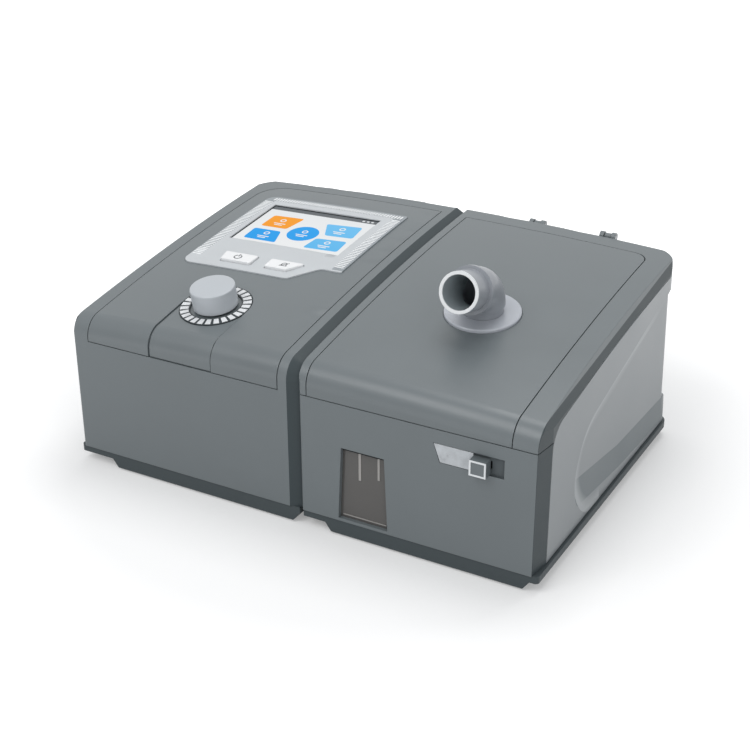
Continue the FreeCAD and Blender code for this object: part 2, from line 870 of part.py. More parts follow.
def lid_plan(grow):
    x0 = at["hum_left"] + d["lid_left"]
    x1 = at["right_x"] - d["lid_right"]
    return cover_plan(x0, x1, at["back_y"] - d["lid_rear"], d["gap"], d["lid_corner"], grow)


def ledge_under(plan, inner):
    """Lip that carries an inset cover, just under its edge."""
    ring = plan(d["ledge"] / 2).cut(plan(-d["ledge"] / 2))
    return hull(d["wall"]).cut(hull(d["wall"] + d["ledge_thick"])).common(ring).common(inner)


def screw_places(side):
    """Plan places of the base screws of the main unit (-1) or the humidifier (1)."""
    inset = d["boss_inset"]
    if side < 0:
        xs = (at["left_x"] + inset, at["main_right"] - inset + d["edge_drop"])
    else:
        xs = (at["hum_left"] + inset - d["edge_drop"], at["right_x"] - inset)
    ys = (at["front_y"] + inset - d["edge_drop"], at["back_y"] - inset)
    return [(x, y) for x in xs for y in ys]


def screw_bosses(side):
    """Corner posts with webs to the nearest walls, drilled for the base screws."""
    posts = []
    for x, y in screw_places(side):
        low = Vector(x, y, at["seam_z"])
        post = Part.makeCylinder(d["boss_radius"], d["boss_height"], low)
        to_wall = math.copysign(d["boss_inset"], y)
        web = box(x - 1, min(y, y + to_wall), low.z, x + 1, max(y, y + to_wall), low.z + d["boss_height"])
        posts.append(post.fuse(web))
    return posts


def add_bosses(shell, side, outer):
    for post in screw_bosses(side):
        shell = shell.fuse(post.common(outer))
    for x, y in screw_places(side):
        foot = Vector(x, y, at["seam_z"])
        shell = shell.cut(Part.makeCylinder(d["screw_radius"], d["boss_height"], foot))
    return shell


FILTER_X = at["box_x"] + d["box_width"] / 2
FILTER_W = d["filter_width"]
FILTER_H = d["filter_height"]


def cover_outline(grow, y0, y1):
    """Block over the filter cover, as seen from the rear."""
    half = FILTER_W / 2 + d["cover_edge"] + grow
    tall = FILTER_H / 2 + d["cover_edge"] + grow
    return box(FILTER_X - half, y0, at["filter_z"] - tall, FILTER_X + half, y1, at["filter_z"] + tall)


def main_shell():
    shell = MAIN_OUTER.cut(MAIN_INNER)
    shell = shell.cut(panel_plan(d["seam"]).cut(hull(d["wall"] + d["ledge_thick"])))
    shell = shell.fuse(ledge_under(panel_plan, MAIN_INNER))
    seat = side_seat(-1, main_plan, MAIN_OUTER)
    backing = MAIN_OUTER.common(side_zone(-1, d["wall"])).cut(seat)
    backing = backing.cut(main_plan(d["side_thick"] + d["seam"] / 3 + d["wall"]))
    shell = shell.fuse(backing).cut(seat)
    shell = add_bosses(shell, -1, MAIN_OUTER)
    # rear wall: filter mouth, power socket and card slot; dock wall: air nozzle
    back = at["back_y"]
    shell = shell.cut(cover_outline(d["gap"], back - d["wall"] / 2, back + 1))
    shell = shell.cut(cover_outline(-d["cover_edge"], back - 2 * d["wall"], back + 1))
    socket = Vector(at["jack_x"], back - 2 * d["wall"], at["socket_z"])
    radius = d["jack_radius"] + d["jack_collar"] + d["snug"]
    shell = shell.cut(Part.makeCylinder(radius, 3 * d["wall"], socket, Y_AXIS))
    half = d["card_width"] / 2 + d["gap"]
    thick = d["card_thick"] / 2 + d["gap"]
    shell = shell.cut(box(at["card_x"] - half, back - 2 * d["wall"], at["socket_z"] - thick,
                          at["card_x"] + half, back + 1, at["socket_z"] + thick))
    nozzle = Vector(at["main_right"] - 2 * d["dock_wall"], at["port_y"], at["port_z"])
    radius = d["duct_radius"] + d["duct_wall"] + d["snug"]
    hole = Part.makeCylinder(radius, 3 * d["dock_wall"], nozzle, X_AXIS)
    return put_shape("main_shell", shell.cut(hole))


def bezel_corners(grow=0.0):
    """Silver display surround: a slanted cut leads from its front edge to its right edge."""
    x = at["screen_x"]
    y = at["screen_y"]
    left = x - d["bezel_left"] - grow
    right = x + d["bezel_right"] + grow
    low = y - d["bezel_front"] - grow
    high = y + d["bezel_rear"] + grow
    step = low + d["bezel_step"]
    return [Vector(left, low, 0), Vector(right - d["bezel_slant_low"], low, 0),
            Vector(right - d["bezel_slant_high"], step, 0), Vector(right, step, 0),
            Vector(right, high, 0), Vector(left, high, 0)]


def bezel_prism(grow=0.0):
    big, small = d["bezel_corner"], d["bezel_step_corner"]
    return prism(bezel_corners(grow), (big, big, big, small, small, big))


def key_outline(x, cut_side, grow, low, high):
    """Key cap outline in the screen frame; one front corner is cut off slantwise."""
    half = d["key_width"] / 2 + grow
    front = d["key_y"] - d["key_depth"] / 2 - grow
    rear = d["key_y"] + d["key_depth"] / 2 + grow
    small, round_edge = d["key_corner"], d["key_round"]
    back_corners = [Vector(x + half, rear, 0), Vector(x - half, rear, 0)]
    if cut_side < 0:
        corners = [Vector(x - half + d["key_slant"], front, 0), Vector(x + half - small, front, 0),
                   Vector(x + half, front + small, 0)]
        radii = (round_edge, 0, 0, round_edge, round_edge)
    else:
        corners = [Vector(x - half + small, front, 0), Vector(x + half - d["key_long_slant"], front, 0)]
        radii = (round_edge,) * 4
    return prism(corners + back_corners, radii, low, high)


KEYS = {"power": ("power_x", -1), "mute": ("mute_x", 1)}


def key_holes(grow):
    holes = []
    for alias, cut_side in KEYS.values():
        holes.append(placed(key_outline(d[alias], cut_side, grow, -8.0, 6.0), SCREEN))
    return holes


def screen_hole(grow):
    half_w = d["screen_width"] / 2 + grow
    half_d = d["screen_depth"] / 2 + grow
    return placed(box(-half_w, -half_d, -8.0, half_w, half_d, 6.0), SCREEN)


def tongue():
    """Shallow hollow as wide as the dial ring, with a deeper line along each side, over the front edge."""
    reach = d["ring_outer"]
    front, rear = at["front_y"] - 1, at["dial_y"]
    strip = outline(at["dial_x"] - reach, front, at["dial_x"] + reach, rear).cut(hull(d["tongue_drop"]))
    for x in (at["dial_x"] - reach, at["dial_x"] + reach):
        line = outline(x - d["groove"] / 2, front, x + d["groove"] / 2, rear)
        strip = strip.fuse(line.cut(hull(d["tongue_drop"] + d["groove"])))
    return strip.common(above(at["lid_seam_z"] - 1))


def control_panel():
    panel = MAIN_OUTER.cut(hull(d["wall"])).common(panel_plan(0))
    panel = panel.cut(bezel_prism(d["snug"]).cut(hull(d["bezel_sunk"])))
    panel = panel.cut(screen_hole(d["snug"]))
    for hole in key_holes(d["key_clear"]):
        panel = panel.cut(hole)
    panel = panel.cut(tongue())
    dish = Part.makeCylinder(d["ring_outer"] + d["gap"], 9.0, Vector(0, 0, -d["dish_depth"]))
    panel = panel.cut(placed(dish, DIAL))
    bush = Part.makeCylinder(d["bush_radius"] + d["snug"], 20.0, Vector(0, 0, -10.0))
    return put_shape("control_panel", panel.cut(placed(bush, DIAL)))


def display_bezel():
    plate = hull(-d["bezel_proud"]).cut(hull(d["bezel_sunk"])).common(bezel_prism())
    plate = plate.cut(screen_hole(0))
    for hole in key_holes(d["key_clear"]):
        plate = plate.cut(hole)
    return put_shape("display_bezel", plate)


main_shell()
control_panel()
display_bezel()
side_panel("main_side_panel", -1, main_plan, MAIN_OUTER)


# ---------------------------------------------------------------- control panel pieces

def framed(body, frame):
    """Fix a body drawn around the screen, dial or outlet to that frame."""
    for axis in "xyz":
        body.setExpression(f"Placement.Base.{axis}", None)
    body.Placement = frame
    return body


def screen_slab(label, half_width, front, rear, low, thick):
    body = new_body(label)
    framed(body, SCREEN)
    sketch = new_sketch(body, "XY_Plane", low)
    draw_box(sketch, f"-({half_width})", front, half_width, rear)
    pad(body, sketch, thick)
    return body


LENS_LOW = "-dims.lens_thick - dims.bezel_sunk"
screen_slab("display_window", "dims.screen_width / 2 - dims.snug", "dims.snug - dims.screen_depth / 2",
            "dims.screen_depth / 2 - dims.snug", LENS_LOW, "dims.lens_thick")
screen_slab("lcd_module", "dims.screen_width / 2 + dims.lcd_lap", "-dims.screen_depth / 2 - dims.lcd_lap",
            "dims.screen_depth / 2 + dims.lcd_lap", "at.lcd_low", "dims.lcd_thick")
screen_slab("display_board", "dims.screen_width / 2 + dims.board_lap", "dims.key_y - dims.key_depth",
            "dims.screen_depth / 2 + dims.board_lap", "at.lcd_low - dims.board_thick", "dims.board_thick")


def key_surface(x):
    """Height of the outer surface at a key, in the screen frame."""
    centre = SCREEN.multVec(Vector(x, d["key_y"], 0))
    outside = Vector(centre.x, centre.y, surface_z(centre.x, centre.y))
    return SCREEN.inverse().multVec(outside).z


for name, (alias, cut_side) in KEYS.items():
    level = key_surface(d[alias])
    top = level + d["bezel_proud"] + d["key_proud"]
    flange_top = level - d["wall"] - d["gap"]
    flange_low = flange_top - d["key_flange"]
    cap = key_outline(d[alias], cut_side, 0, flange_low, top)
    flange = key_outline(d[alias], cut_side, d["key_flange"], flange_low, flange_top)
    tip = at["lcd_low"] + d["switch_height"] + d["running_fit"]
    stem = Part.makeCylinder(d["key_stem"], flange_low - tip, Vector(d[alias], d["key_y"], tip))
    put_shape(f"{name}_button", cap.fuse([flange, stem]), SCREEN)

switches = []
for alias, cut_side in KEYS.values():
    side = d["switch_side"]
    base = Vector(d[alias] - side / 2, d["key_y"] - side / 2, at["lcd_low"])
    switches.append(Part.makeBox(side, side, d["switch_height"] - d["key_travel"] - d["switch_rest"], base))
put_shape("tact_switches", Part.makeCompound(switches), SCREEN)


# ---------------------------------------------------------------- dial

def knob():
    bore = "dims.shaft_radius + dims.running_fit / 2"
    skirt = "dims.knob_radius - dims.knob_wall"
    roof = "dims.knob_height - dims.knob_wall"
    corners = [(bore, "dims.knob_wall"), ("dims.hub_radius", "dims.knob_wall"), ("dims.hub_radius", roof),
               (skirt, roof), (skirt, "dims.knob_lift"), ("dims.knob_radius", "dims.knob_lift"),
               ("dims.knob_radius", "dims.knob_height"), ("0", "dims.knob_height"),
               ("0", roof), (bore, roof)]
    return framed(turned("dial_knob", corners), DIAL)


def plain_round(label, inner, outer, low, high):
    """Plain ring or pin between two radii and two heights."""
    return turned(label, [(inner, low), (outer, low), (outer, high), (inner, high)])


def encoder():
    """Push encoder under the panel: case, threaded bush, and a well for its plunger."""
    body = new_body("encoder_body")
    framed(body, DIAL)
    case = new_sketch(body, "XY_Plane", "-dims.encoder_deep")
    half = "dims.encoder_side / 2"
    draw_box(case, f"-{half}", f"-{half}", half, half)
    pad(body, case, "dims.encoder_deep - dims.wall - 2 * dims.snug")
    bush = new_sketch(body, "XY_Plane", "-dims.wall - 2 * dims.snug")
    draw_circle(bush, "dims.bush_radius")
    pad(body, bush, "dims.wall")
    bore = new_sketch(body, "XY_Plane", "-2 * dims.snug")
    draw_circle(bore, "dims.shaft_radius + dims.running_fit")
    pocket(body, bore, "dims.shaft_low + dims.dial_travel")
    well = new_sketch(body, "XY_Plane", "-dims.shaft_low - dims.dial_travel")
    draw_circle(well, "dims.shaft_radius - dims.plunger_step + dims.snug")
    pocket(body, well, "dims.plunger_length + 2 * dims.snug")


knob()
framed(plain_round("encoder_shaft", "0", "dims.shaft_radius", "-dims.shaft_low",
                   "dims.knob_height - dims.knob_wall"), DIAL)
framed(plain_round("encoder_plunger", "0", "dims.shaft_radius - dims.plunger_step",
                   "-dims.shaft_low - dims.plunger_length", "-dims.shaft_low - dims.snug / 2"), DIAL)
encoder()
framed(plain_round("dial_ring", "dims.ring_inner", "dims.ring_outer", "-dims.dish_depth",
                   "dims.ring_thick - dims.dish_depth"), DIAL)


# ---------------------------------------------------------------- bases, feet and screws

def near(value, target):
    return abs(value - target) < 1e-3


def unit_base(label, side, x0, x1, plinth_left, plinth_right):
    """Dark base: strip that stands out under the side, plinth with slanted ends, posts, screw seats."""
    body = new_body(label)
    strip = new_sketch(body, "XY_Plane", "at.strip_z")
    left, right = f"{x0} + dims.strip_inset", f"{x1} - dims.strip_inset"
    if side < 0:
        left = f"{x0} - dims.strip_lap"
    else:
        right = f"{x1} + dims.strip_lap"
    front, rear = "at.front_y + dims.strip_inset", "at.back_y - dims.strip_inset"
    draw_box(strip, left, front, right, rear)
    pad(body, strip, "dims.strip_height")
    outer_x = side * (at["right_x"] + d["strip_lap"])
    rear_y = at["back_y"] - d["strip_inset"]
    front_y = at["front_y"] + d["strip_inset"]
    for radius, y in (("foot_corner", rear_y), ("front_corner", front_y)):
        round_edges(body, f"dims.{radius} - dims.strip_inset",
                    lambda e: near(e.BoundBox.ZLength, d["strip_height"])
                    and near(e.CenterOfMass.x, outer_x) and near(e.CenterOfMass.y, y))
    tray = new_sketch(body, "XY_Plane", "at.seam_z")
    inset = "dims.tray_inset"
    draw_box(tray, f"{x0} + {inset}", f"at.front_y + {inset}", f"{x1} - {inset}", f"at.back_y - {inset}")
    pocket(body, tray, "dims.strip_height - dims.strip_floor")
    plinth = new_sketch(body, "XZ_Plane", "dims.plinth_rear - at.back_y")
    slant = "dims.plinth_slant"
    draw_polygon(plinth, [(f"{x0} + {plinth_left} + {slant}", "dims.foot_proud"),
                          (f"{x1} - {plinth_right} - {slant}", "dims.foot_proud"),
                          (f"{x1} - {plinth_right}", "at.strip_z"),
                          (f"{x0} + {plinth_left}", "at.strip_z")])
    pad(body, plinth, "dims.depth - dims.plinth_rear - dims.strip_inset")
    return body


def add_posts(body, radius, places, top):
    sketch = new_sketch(body, "XY_Plane", "at.floor_z")
    for x, y in places:
        draw_circle(sketch, radius, x, y)
    pad(body, sketch, f"{top} - at.floor_z")


def drill_base(body, side):
    """Screw seats: a boss inside, a hole, and a counterbore from below."""
    places = [(str(x), str(y)) for x, y in screw_formulas(side)]
    add_posts(body, "dims.boss_radius", places, "at.seam_z")
    head = new_sketch(body, "XY_Plane")
    hole = new_sketch(body, "XY_Plane")
    for x, y in places:
        draw_circle(head, "dims.head_radius + dims.gap", x, y)
        draw_circle(hole, "dims.screw_radius + 0.2", x, y)
    pocket(body, head, "at.strip_z + dims.head_height", upward=True)
    pocket(body, hole, "at.seam_z + 1", upward=True)


def screw_formulas(side):
    """The places of screw_places, as formulas."""
    if side < 0:
        xs = ("at.left_x + dims.boss_inset", "at.main_right - dims.boss_inset + dims.edge_drop")
    else:
        xs = ("at.hum_left + dims.boss_inset - dims.edge_drop", "at.right_x - dims.boss_inset")
    ys = ("at.front_y + dims.boss_inset - dims.edge_drop", "at.back_y - dims.boss_inset")
    return [(x, y) for x in xs for y in ys]


def feet(label, x0, x1, plinth_left, plinth_right):
    left = f"{x0} + {plinth_left} + dims.foot_inset"
    right = f"{x1} - {plinth_right} - dims.foot_inset"
    front = "at.front_y + dims.foot_inset"
    rear = "at.back_y - dims.plinth_rear - dims.foot_inset"
    places = [(x, y) for x in (left, right) for y in (front, rear)]
    return put_group(label, "dims.foot_radius", places, "0", "dims.foot_proud")


def put_group(label, radius, places, low, length):
    """Identical round pieces that share one node: a row of upright cylinders."""
    pieces = []
    for index, (x, y) in enumerate(places, start=1):
        piece = doc.addObject("Part::Cylinder", f"{label}_{index}")
        piece.setExpression("Radius", radius)
        piece.setExpression("Height", length)
        for axis, place in zip("xyz", (x, y, low)):
            piece.setExpression(f"Placement.Base.{axis}", place)
        pieces.append(piece)
    group = doc.addObject("Part::Compound", label)
    group.Label = label
    group.Links = pieces
    parts.append(group)
    return group


def screws(label, side):
    """Pan-head screws driven up through the base."""
    pieces = []
    for x, y in screw_places(side):
        base = Vector(x, y, at["strip_z"])
        head = Part.makeCylinder(d["head_radius"], d["head_height"], base)
        top = base + Vector(0, 0, d["head_height"])
        shank = Part.makeCylinder(d["screw_radius"], d["screw_length"], top)
        cross = d["head_radius"] * 0.6
        half = d["slot_width"] / 2
        slot = box(x - cross, y - half, base.z, x + cross, y + half, base.z + d["head_height"] / 2)
        pieces.append(head.fuse(shank).removeSplitter().cut(slot))
    return put_shape(label, Part.makeCompound(pieces))


BLOWER_PLACES = [(f"at.blower_x {a} dims.mount_reach", f"at.blower_y {b} dims.mount_reach")
                 for a in "-+" for b in "-+"]
BOARD_PLACES = [(x, y)
                for x in ("at.board_x + dims.peg_inset", "at.board_x + dims.board_width - dims.peg_inset")
                for y in ("at.board_y + dims.peg_inset", "at.board_y + dims.board_depth - dims.peg_inset")]

main_base = unit_base("main_base", -1, "at.left_x", "at.main_right",
                      "dims.main_plinth_left", "dims.main_plinth_right")
add_posts(main_base, "dims.post_radius", BLOWER_PLACES, "at.mount_z")
add_posts(main_base, "dims.peg_radius", BOARD_PLACES, "at.board_z")
drill_base(main_base, -1)
feet("main_feet", "at.left_x", "at.main_right", "dims.main_plinth_left", "dims.main_plinth_right")
screws("main_screws", -1)


# ---------------------------------------------------------------- boards and sockets

slab("main_board", "at.board_x", "at.board_y", "at.board_z", "dims.board_width", "dims.board_depth",
     "dims.board_thick")


def board_components():
    """Heat sink, capacitors, choke and connectors of the main board."""
    corner = Vector(at["board_x"], at["board_y"], at["board_z"] + d["board_thick"])
    start = corner + Vector(d["sink_x"], d["sink_y"], 0)
    sink = Part.makeBox(d["sink_length"], d["sink_depth"], d["sink_base"], start)
    pitch = (d["sink_length"] - d["fin_thick"]) / (d["fin_count"] - 1)
    for fin in range(int(d["fin_count"])):
        root = start + Vector(fin * pitch, 0, 0)
        sink = sink.fuse(Part.makeBox(d["fin_thick"], d["sink_depth"], d["sink_height"], root))
    items = [sink.removeSplitter()]
    for step in range(3):
        place = corner + Vector(d["capacitor_x"] + step * d["capacitor_pitch"], d["capacitor_y"], 0)
        items.append(Part.makeCylinder(d["capacitor_radius"], d["capacitor_height"], place))
    place = corner + Vector(d["choke_x"], d["choke_y"], 0)
    items.append(tube(d["choke_inner"], d["choke_outer"], d["choke_height"], place))
    for step in range(2):
        place = corner + Vector(d["plug_x"] + step * d["plug_pitch"], d["plug_y"], 0)
        items.append(Part.makeBox(d["plug_length"], d["plug_depth"], d["plug_height"], place))
    place = corner + Vector(d["chip_x"], d["chip_y"], 0)
    items.append(Part.makeBox(d["chip_side"], d["chip_side"], d["chip_height"], place))
    return put_shape("board_components", Part.makeCompound(items))


board_components()


def power_inlet():
    """Low-voltage socket behind the rear wall, with its centre pin."""
    body = new_body("power_inlet", "at.jack_x", "at.back_y", "at.socket_z")
    collar = new_sketch(body, "XZ_Plane", "0")
    draw_circle(collar, "dims.jack_radius + dims.jack_collar")
    pad(body, collar, "dims.wall")
    case = new_sketch(body, "XZ_Plane", "dims.wall")
    draw_box(case, "-dims.jack_width / 2", "-dims.jack_height / 2",
             "dims.jack_width / 2", "dims.jack_height / 2")
    pad(body, case, "dims.jack_case")
    bore = new_sketch(body, "XZ_Plane", "0")
    draw_circle(bore, "dims.jack_radius")
    pocket(body, bore, "dims.jack_bore", upward=True)
    pin = new_sketch(body, "XZ_Plane", "dims.jack_pin_back")
    draw_circle(pin, "dims.jack_pin")
    pad(body, pin, "dims.jack_pin_length")


def card_socket():
    """Case of the memory card, open to the rear."""
    body = new_body("card_socket", "at.card_x", "at.back_y - dims.wall", "at.socket_z")
    case = new_sketch(body, "XZ_Plane", "0")
    half = "dims.card_width / 2 + dims.card_case_side"
    thick = "dims.card_thick / 2 + dims.card_case_wall"
    draw_box(case, f"-({half})", f"-({thick})", half, thick)
    pad(body, case, "dims.card_length + dims.card_case_side")
    slot = new_sketch(body, "XZ_Plane", "0")
    half = "dims.card_width / 2 + dims.gap"
    thick = "dims.card_thick / 2 + dims.gap"
    draw_box(slot, f"-({half})", f"-({thick})", half, thick)
    pocket(body, slot, "dims.card_length", upward=True)


power_inlet()
card_socket()
slab("memory_card", "at.card_x - dims.card_width / 2", "at.back_y - dims.card_back - dims.card_length",
     "at.socket_z - dims.card_thick / 2", "dims.card_width", "dims.card_length", "dims.card_thick")


# ---------------------------------------------------------------- blower

CHANNEL_Y = "dims.volute_wall + dims.duct_radius - dims.volute_radius"


def housing_half(label, low, upward):
    """Half of the volute with half of its outlet channel."""
    body = new_body(label, "at.blower_x", "at.blower_y", "at.blower_z")
    drum = new_sketch(body, "XY_Plane", low)
    draw_circle(drum, "dims.volute_radius")
    pad(body, drum, "dims.volute_height / 2")
    channel = new_sketch(body, "XY_Plane", low)
    draw_box(channel, "0", "-dims.volute_radius", "at.duct_end - at.blower_x",
             "2 * dims.volute_wall + 2 * dims.duct_radius - dims.volute_radius")
    pad(body, channel, "dims.volute_height / 2")
    chamber = new_sketch(body, "XY_Plane", "dims.volute_height / 2")
    draw_circle(chamber, "dims.volute_radius - dims.volute_wall")
    pocket(body, chamber, "dims.volute_height / 2 - dims.volute_wall", upward)
    bore = new_sketch(body, "YZ_Plane", "at.duct_end - at.blower_x")
    draw_circle(bore, "dims.duct_radius", CHANNEL_Y, "dims.volute_height / 2")
    pocket(body, bore, "at.duct_end - at.blower_x")
    return body


def lower_housing():
    body = housing_half("blower_lower_housing", "0", False)
    seat = new_sketch(body, "XY_Plane", "-dims.bearing_width")
    draw_circle(seat, "dims.bearing_radius + 2")
    pad(body, seat, "dims.bearing_width")
    bearing = new_sketch(body, "XY_Plane", "0")
    draw_circle(bearing, "dims.bearing_radius + 0.02")
    pocket(body, bearing, "dims.bearing_width")
    hole = new_sketch(body, "XY_Plane", "dims.volute_wall")
    draw_circle(hole, "dims.motor_shaft + 0.8")
    pocket(body, hole, "dims.volute_wall")


def upper_housing():
    body = housing_half("blower_upper_housing", "dims.volute_height / 2", True)
    mouth = new_sketch(body, "XY_Plane", "dims.volute_height")
    draw_circle(mouth, "dims.inlet_radius")
    pocket(body, mouth, "dims.volute_wall + 1")


def impeller():
    """Backplate, hub and a ring of swept blades."""
    body = new_body("impeller", "at.blower_x", "at.blower_y",
                    "at.blower_z + dims.volute_wall + dims.impeller_lift")
    hub = new_sketch(body, "XZ_Plane")
    bore = "dims.motor_shaft + dims.press_fit / 2"
    plate = "dims.backplate_thick"
    draw_polygon(hub, [(bore, "0"), ("dims.impeller_radius", "0"), ("dims.impeller_radius", plate),
                       ("dims.blade_root + 1", plate), ("dims.bearing_radius + 1", "dims.impeller_height"),
                       (bore, "dims.impeller_height")])
    revolve(body, hub)
    blade = new_sketch(body, "XY_Plane", f"{plate} / 2")
    draw_polygon(blade, [("dims.blade_root", "0"), ("dims.blade_root", "dims.blade_thick"),
                         ("dims.impeller_radius - 1.5", "dims.blade_sweep + dims.blade_thick"),
                         ("dims.impeller_radius - 1", "dims.blade_sweep")])
    blade_pad = pad(body, blade, "dims.impeller_height - 1")
    pattern = body.newObject("PartDesign::PolarPattern", "impeller_pattern")
    pattern.Originals = [blade_pad]
    pattern.Axis = (hub, ["V_Axis"])
    pattern.Occurrences = int(d["blade_count"])
    pattern.Angle = 360
    body.Tip = pattern
    return body


def motor_can():
    """Cup with a bearing seat in its floor; the stator sits on its wall."""
    low = "-dims.motor_height"
    bore = "dims.motor_shaft + 0.5"
    wall = "dims.motor_radius - dims.can_wall"
    seat = "dims.bearing_radius + dims.press_fit"
    boss = "dims.bearing_radius + dims.bearing_boss"
    step = "dims.bearing_step - dims.motor_height"
    floor = "dims.can_wall - dims.motor_height"
    top = "dims.bearing_step + dims.bearing_width - dims.motor_height"
    corners = [(bore, low), ("dims.motor_radius", low), ("dims.motor_radius", "0"), (wall, "0"),
               (wall, floor), (boss, floor), (boss, top), (seat, top), (seat, step), (bore, step)]
    return turned("motor_can", corners, "at.blower_x", "at.blower_y", "at.blower_z")


def around_shaft(label, inner, outer, low, high):
    """Ring about the motor's axis; heights count from the underside of the blower."""
    body = plain_round(label, inner, outer, low, high)
    for axis in "xyz":
        body.setExpression(f"Placement.Base.{axis}", f"at.blower_{axis}")
    return body


def motor_bearings():
    """One bearing in the housing floor and one in the floor of the can."""
    lows = (-d["bearing_width"], d["bearing_step"] - d["motor_height"])
    inner = d["motor_shaft"] + d["press_fit"]
    rings = []
    for low in lows:
        base = Vector(at["blower_x"], at["blower_y"], at["blower_z"] + low)
        rings.append(tube(inner, d["bearing_radius"], d["bearing_width"], base))
    return put_shape("motor_bearings", Part.makeCompound(rings))


def motor_core():
    """Stator, magnet ring and shaft inside the can."""
    stator_inner = "dims.motor_radius - dims.can_wall - dims.stator_deep"
    stator_outer = "dims.motor_radius - dims.can_wall - 0.1"
    low = "dims.stator_lift - dims.motor_height"
    high = f"{low} + dims.stator_height"
    around_shaft("motor_stator", stator_inner, stator_outer, low, high)
    around_shaft("rotor_magnet", "dims.motor_shaft + dims.press_fit / 2", f"{stator_inner} - dims.air_gap",
                 f"{low} + dims.air_gap", f"{high} - dims.air_gap")
    around_shaft("motor_shaft", "0", "dims.motor_shaft", "dims.bearing_step + 0.4 - dims.motor_height",
                 "dims.impeller_lift + dims.volute_wall + dims.impeller_height - 0.2")


lower_housing()
upper_housing()
impeller()
motor_can()
motor_core()
motor_bearings()
put_group("blower_mounts", "dims.mount_radius", BLOWER_PLACES, "at.mount_z", "dims.mount_height")


def outlet_duct():
    """Nozzle through the dock wall that plugs into the humidifier."""
    body = new_body("outlet_duct", "at.duct_end", "at.port_y", "at.port_z")
    pipe = new_sketch(body, "YZ_Plane")
    draw_circle(pipe, "dims.duct_radius + dims.duct_wall")
    draw_circle(pipe, "dims.duct_radius")
    pad(body, pipe, "at.main_right + dims.nozzle_reach - at.duct_end")


def intake_duct():
    """Square duct from the silencer box to the top of the blower."""
    half = "dims.inlet_radius + dims.duct_wall"
    start = "at.box_x + dims.box_width"
    body = new_body("intake_duct", start, "at.blower_y", "at.blower_z + dims.volute_height")
    outer = new_sketch(body, "YZ_Plane")
    draw_box(outer, f"-({half})", "0", half, "dims.intake_height")
    pad(body, outer, f"at.blower_x + {half} - ({start})")
    inner = new_sketch(body, "YZ_Plane")
    draw_box(inner, "-dims.inlet_radius", "dims.duct_wall", "dims.inlet_radius",
             "dims.intake_height - dims.duct_wall")
    pocket(body, inner, f"at.blower_x + dims.inlet_radius - ({start})", upward=True)
    mouth = new_sketch(body, "XY_Plane", "dims.duct_wall + 1")
    draw_circle(mouth, "dims.inlet_radius - 0.4", f"at.blower_x - ({start})", "0")
    pocket(body, mouth, "dims.duct_wall + 1")


def silencer_box():
    """Box behind the filter, open at the rear wall, with a port for the intake duct."""
    body = new_body("silencer_box", "at.box_x", "at.back_y - dims.wall", "at.box_low")
    deep = "at.back_y - dims.wall - at.box_front"
    high = "at.box_high - at.box_low"
    outer = new_sketch(body, "XZ_Plane")
    draw_box(outer, "0", "0", "dims.box_width", high)
    pad(body, outer, deep)
    inner = new_sketch(body, "XZ_Plane")
    wall = "dims.box_wall"
    draw_box(inner, wall, wall, f"dims.box_width - {wall}", f"{high} - {wall}")
    pocket(body, inner, f"{deep} - {wall}", upward=True)
    port = new_sketch(body, "YZ_Plane", "dims.box_width")
    middle = "at.blower_y - at.back_y + dims.wall"
    low = "at.blower_z + dims.volute_height - at.box_low + dims.duct_wall"
    draw_box(port, f"{middle} - dims.inlet_radius", low, f"{middle} + dims.inlet_radius",
             f"{low} + dims.intake_height - 2 * dims.duct_wall")
    pocket(body, port, wall)


def silencer_foam():
    """Foam lining with a slot for the air."""
    body = new_body("silencer_foam", "at.box_x + dims.box_wall",
                    "at.back_y - dims.wall - dims.filter_thick - 4", "at.box_low + dims.box_wall")
    wide = "dims.box_width - 2 * dims.box_wall"
    side = "dims.foam_side"
    block = new_sketch(body, "XZ_Plane")
    draw_box(block, "0.2", "0.2", f"{wide} - 0.2", "dims.foam_height")
    pad(body, block, "dims.foam_length")
    slot = new_sketch(body, "XZ_Plane")
    draw_box(slot, side, "dims.foam_floor", f"{wide} - {side}", "dims.foam_height + 1")
    pocket(body, slot, "dims.foam_length + 1", upward=True)


def filter_cover():
    """Grille over the intake filter; it pulls straight off to the rear."""
    back = at["back_y"]
    plate = cover_outline(0, back - d["wall"] / 2 + d["gap"], back)
    half = FILTER_W / 2 - d["louvre_slot"]
    low = at["filter_z"] - FILTER_H / 2 + d["cover_edge"]
    for step in range(int(d["louvre_count"])):
        z = low + step * d["louvre_pitch"]
        slot = box(FILTER_X - half, back - d["wall"], z, FILTER_X + half, back + 1, z + d["louvre_slot"])
        plate = plate.cut(slot)
    return put_shape("filter_cover", plate)


outlet_duct()
intake_duct()
silencer_box()
silencer_foam()
slab("air_filter", "at.box_x + (dims.box_width - dims.filter_width) / 2 + dims.gap",
     "at.back_y - dims.wall / 2 - dims.filter_thick", "at.filter_z - dims.filter_height / 2 + dims.gap",
     "dims.filter_width - 2 * dims.gap", "dims.filter_thick", "dims.filter_height - 2 * dims.gap")
filter_cover()


# ---------------------------------------------------------------- humidifier covers

def window_prism(grow, y0, y1):
    x = at["window_mid"]
    low = at["seam_z"] + d["window_low"] - min(grow, d["window_low"] - d["gap"])
    high = at["seam_z"] + d["window_high"] + grow
    top = d["window_top"] / 2 + grow
    bottom = d["window_bottom"] / 2 + grow
    corners = [Vector(x - bottom, y0, low), Vector(x + bottom, y0, low), Vector(x + top, y0, high),
               Vector(x - top, y0, high), Vector(x - bottom, y0, low)]
    return Part.Face(Part.makePolygon(corners)).extrude(Vector(0, y1 - y0, 0))


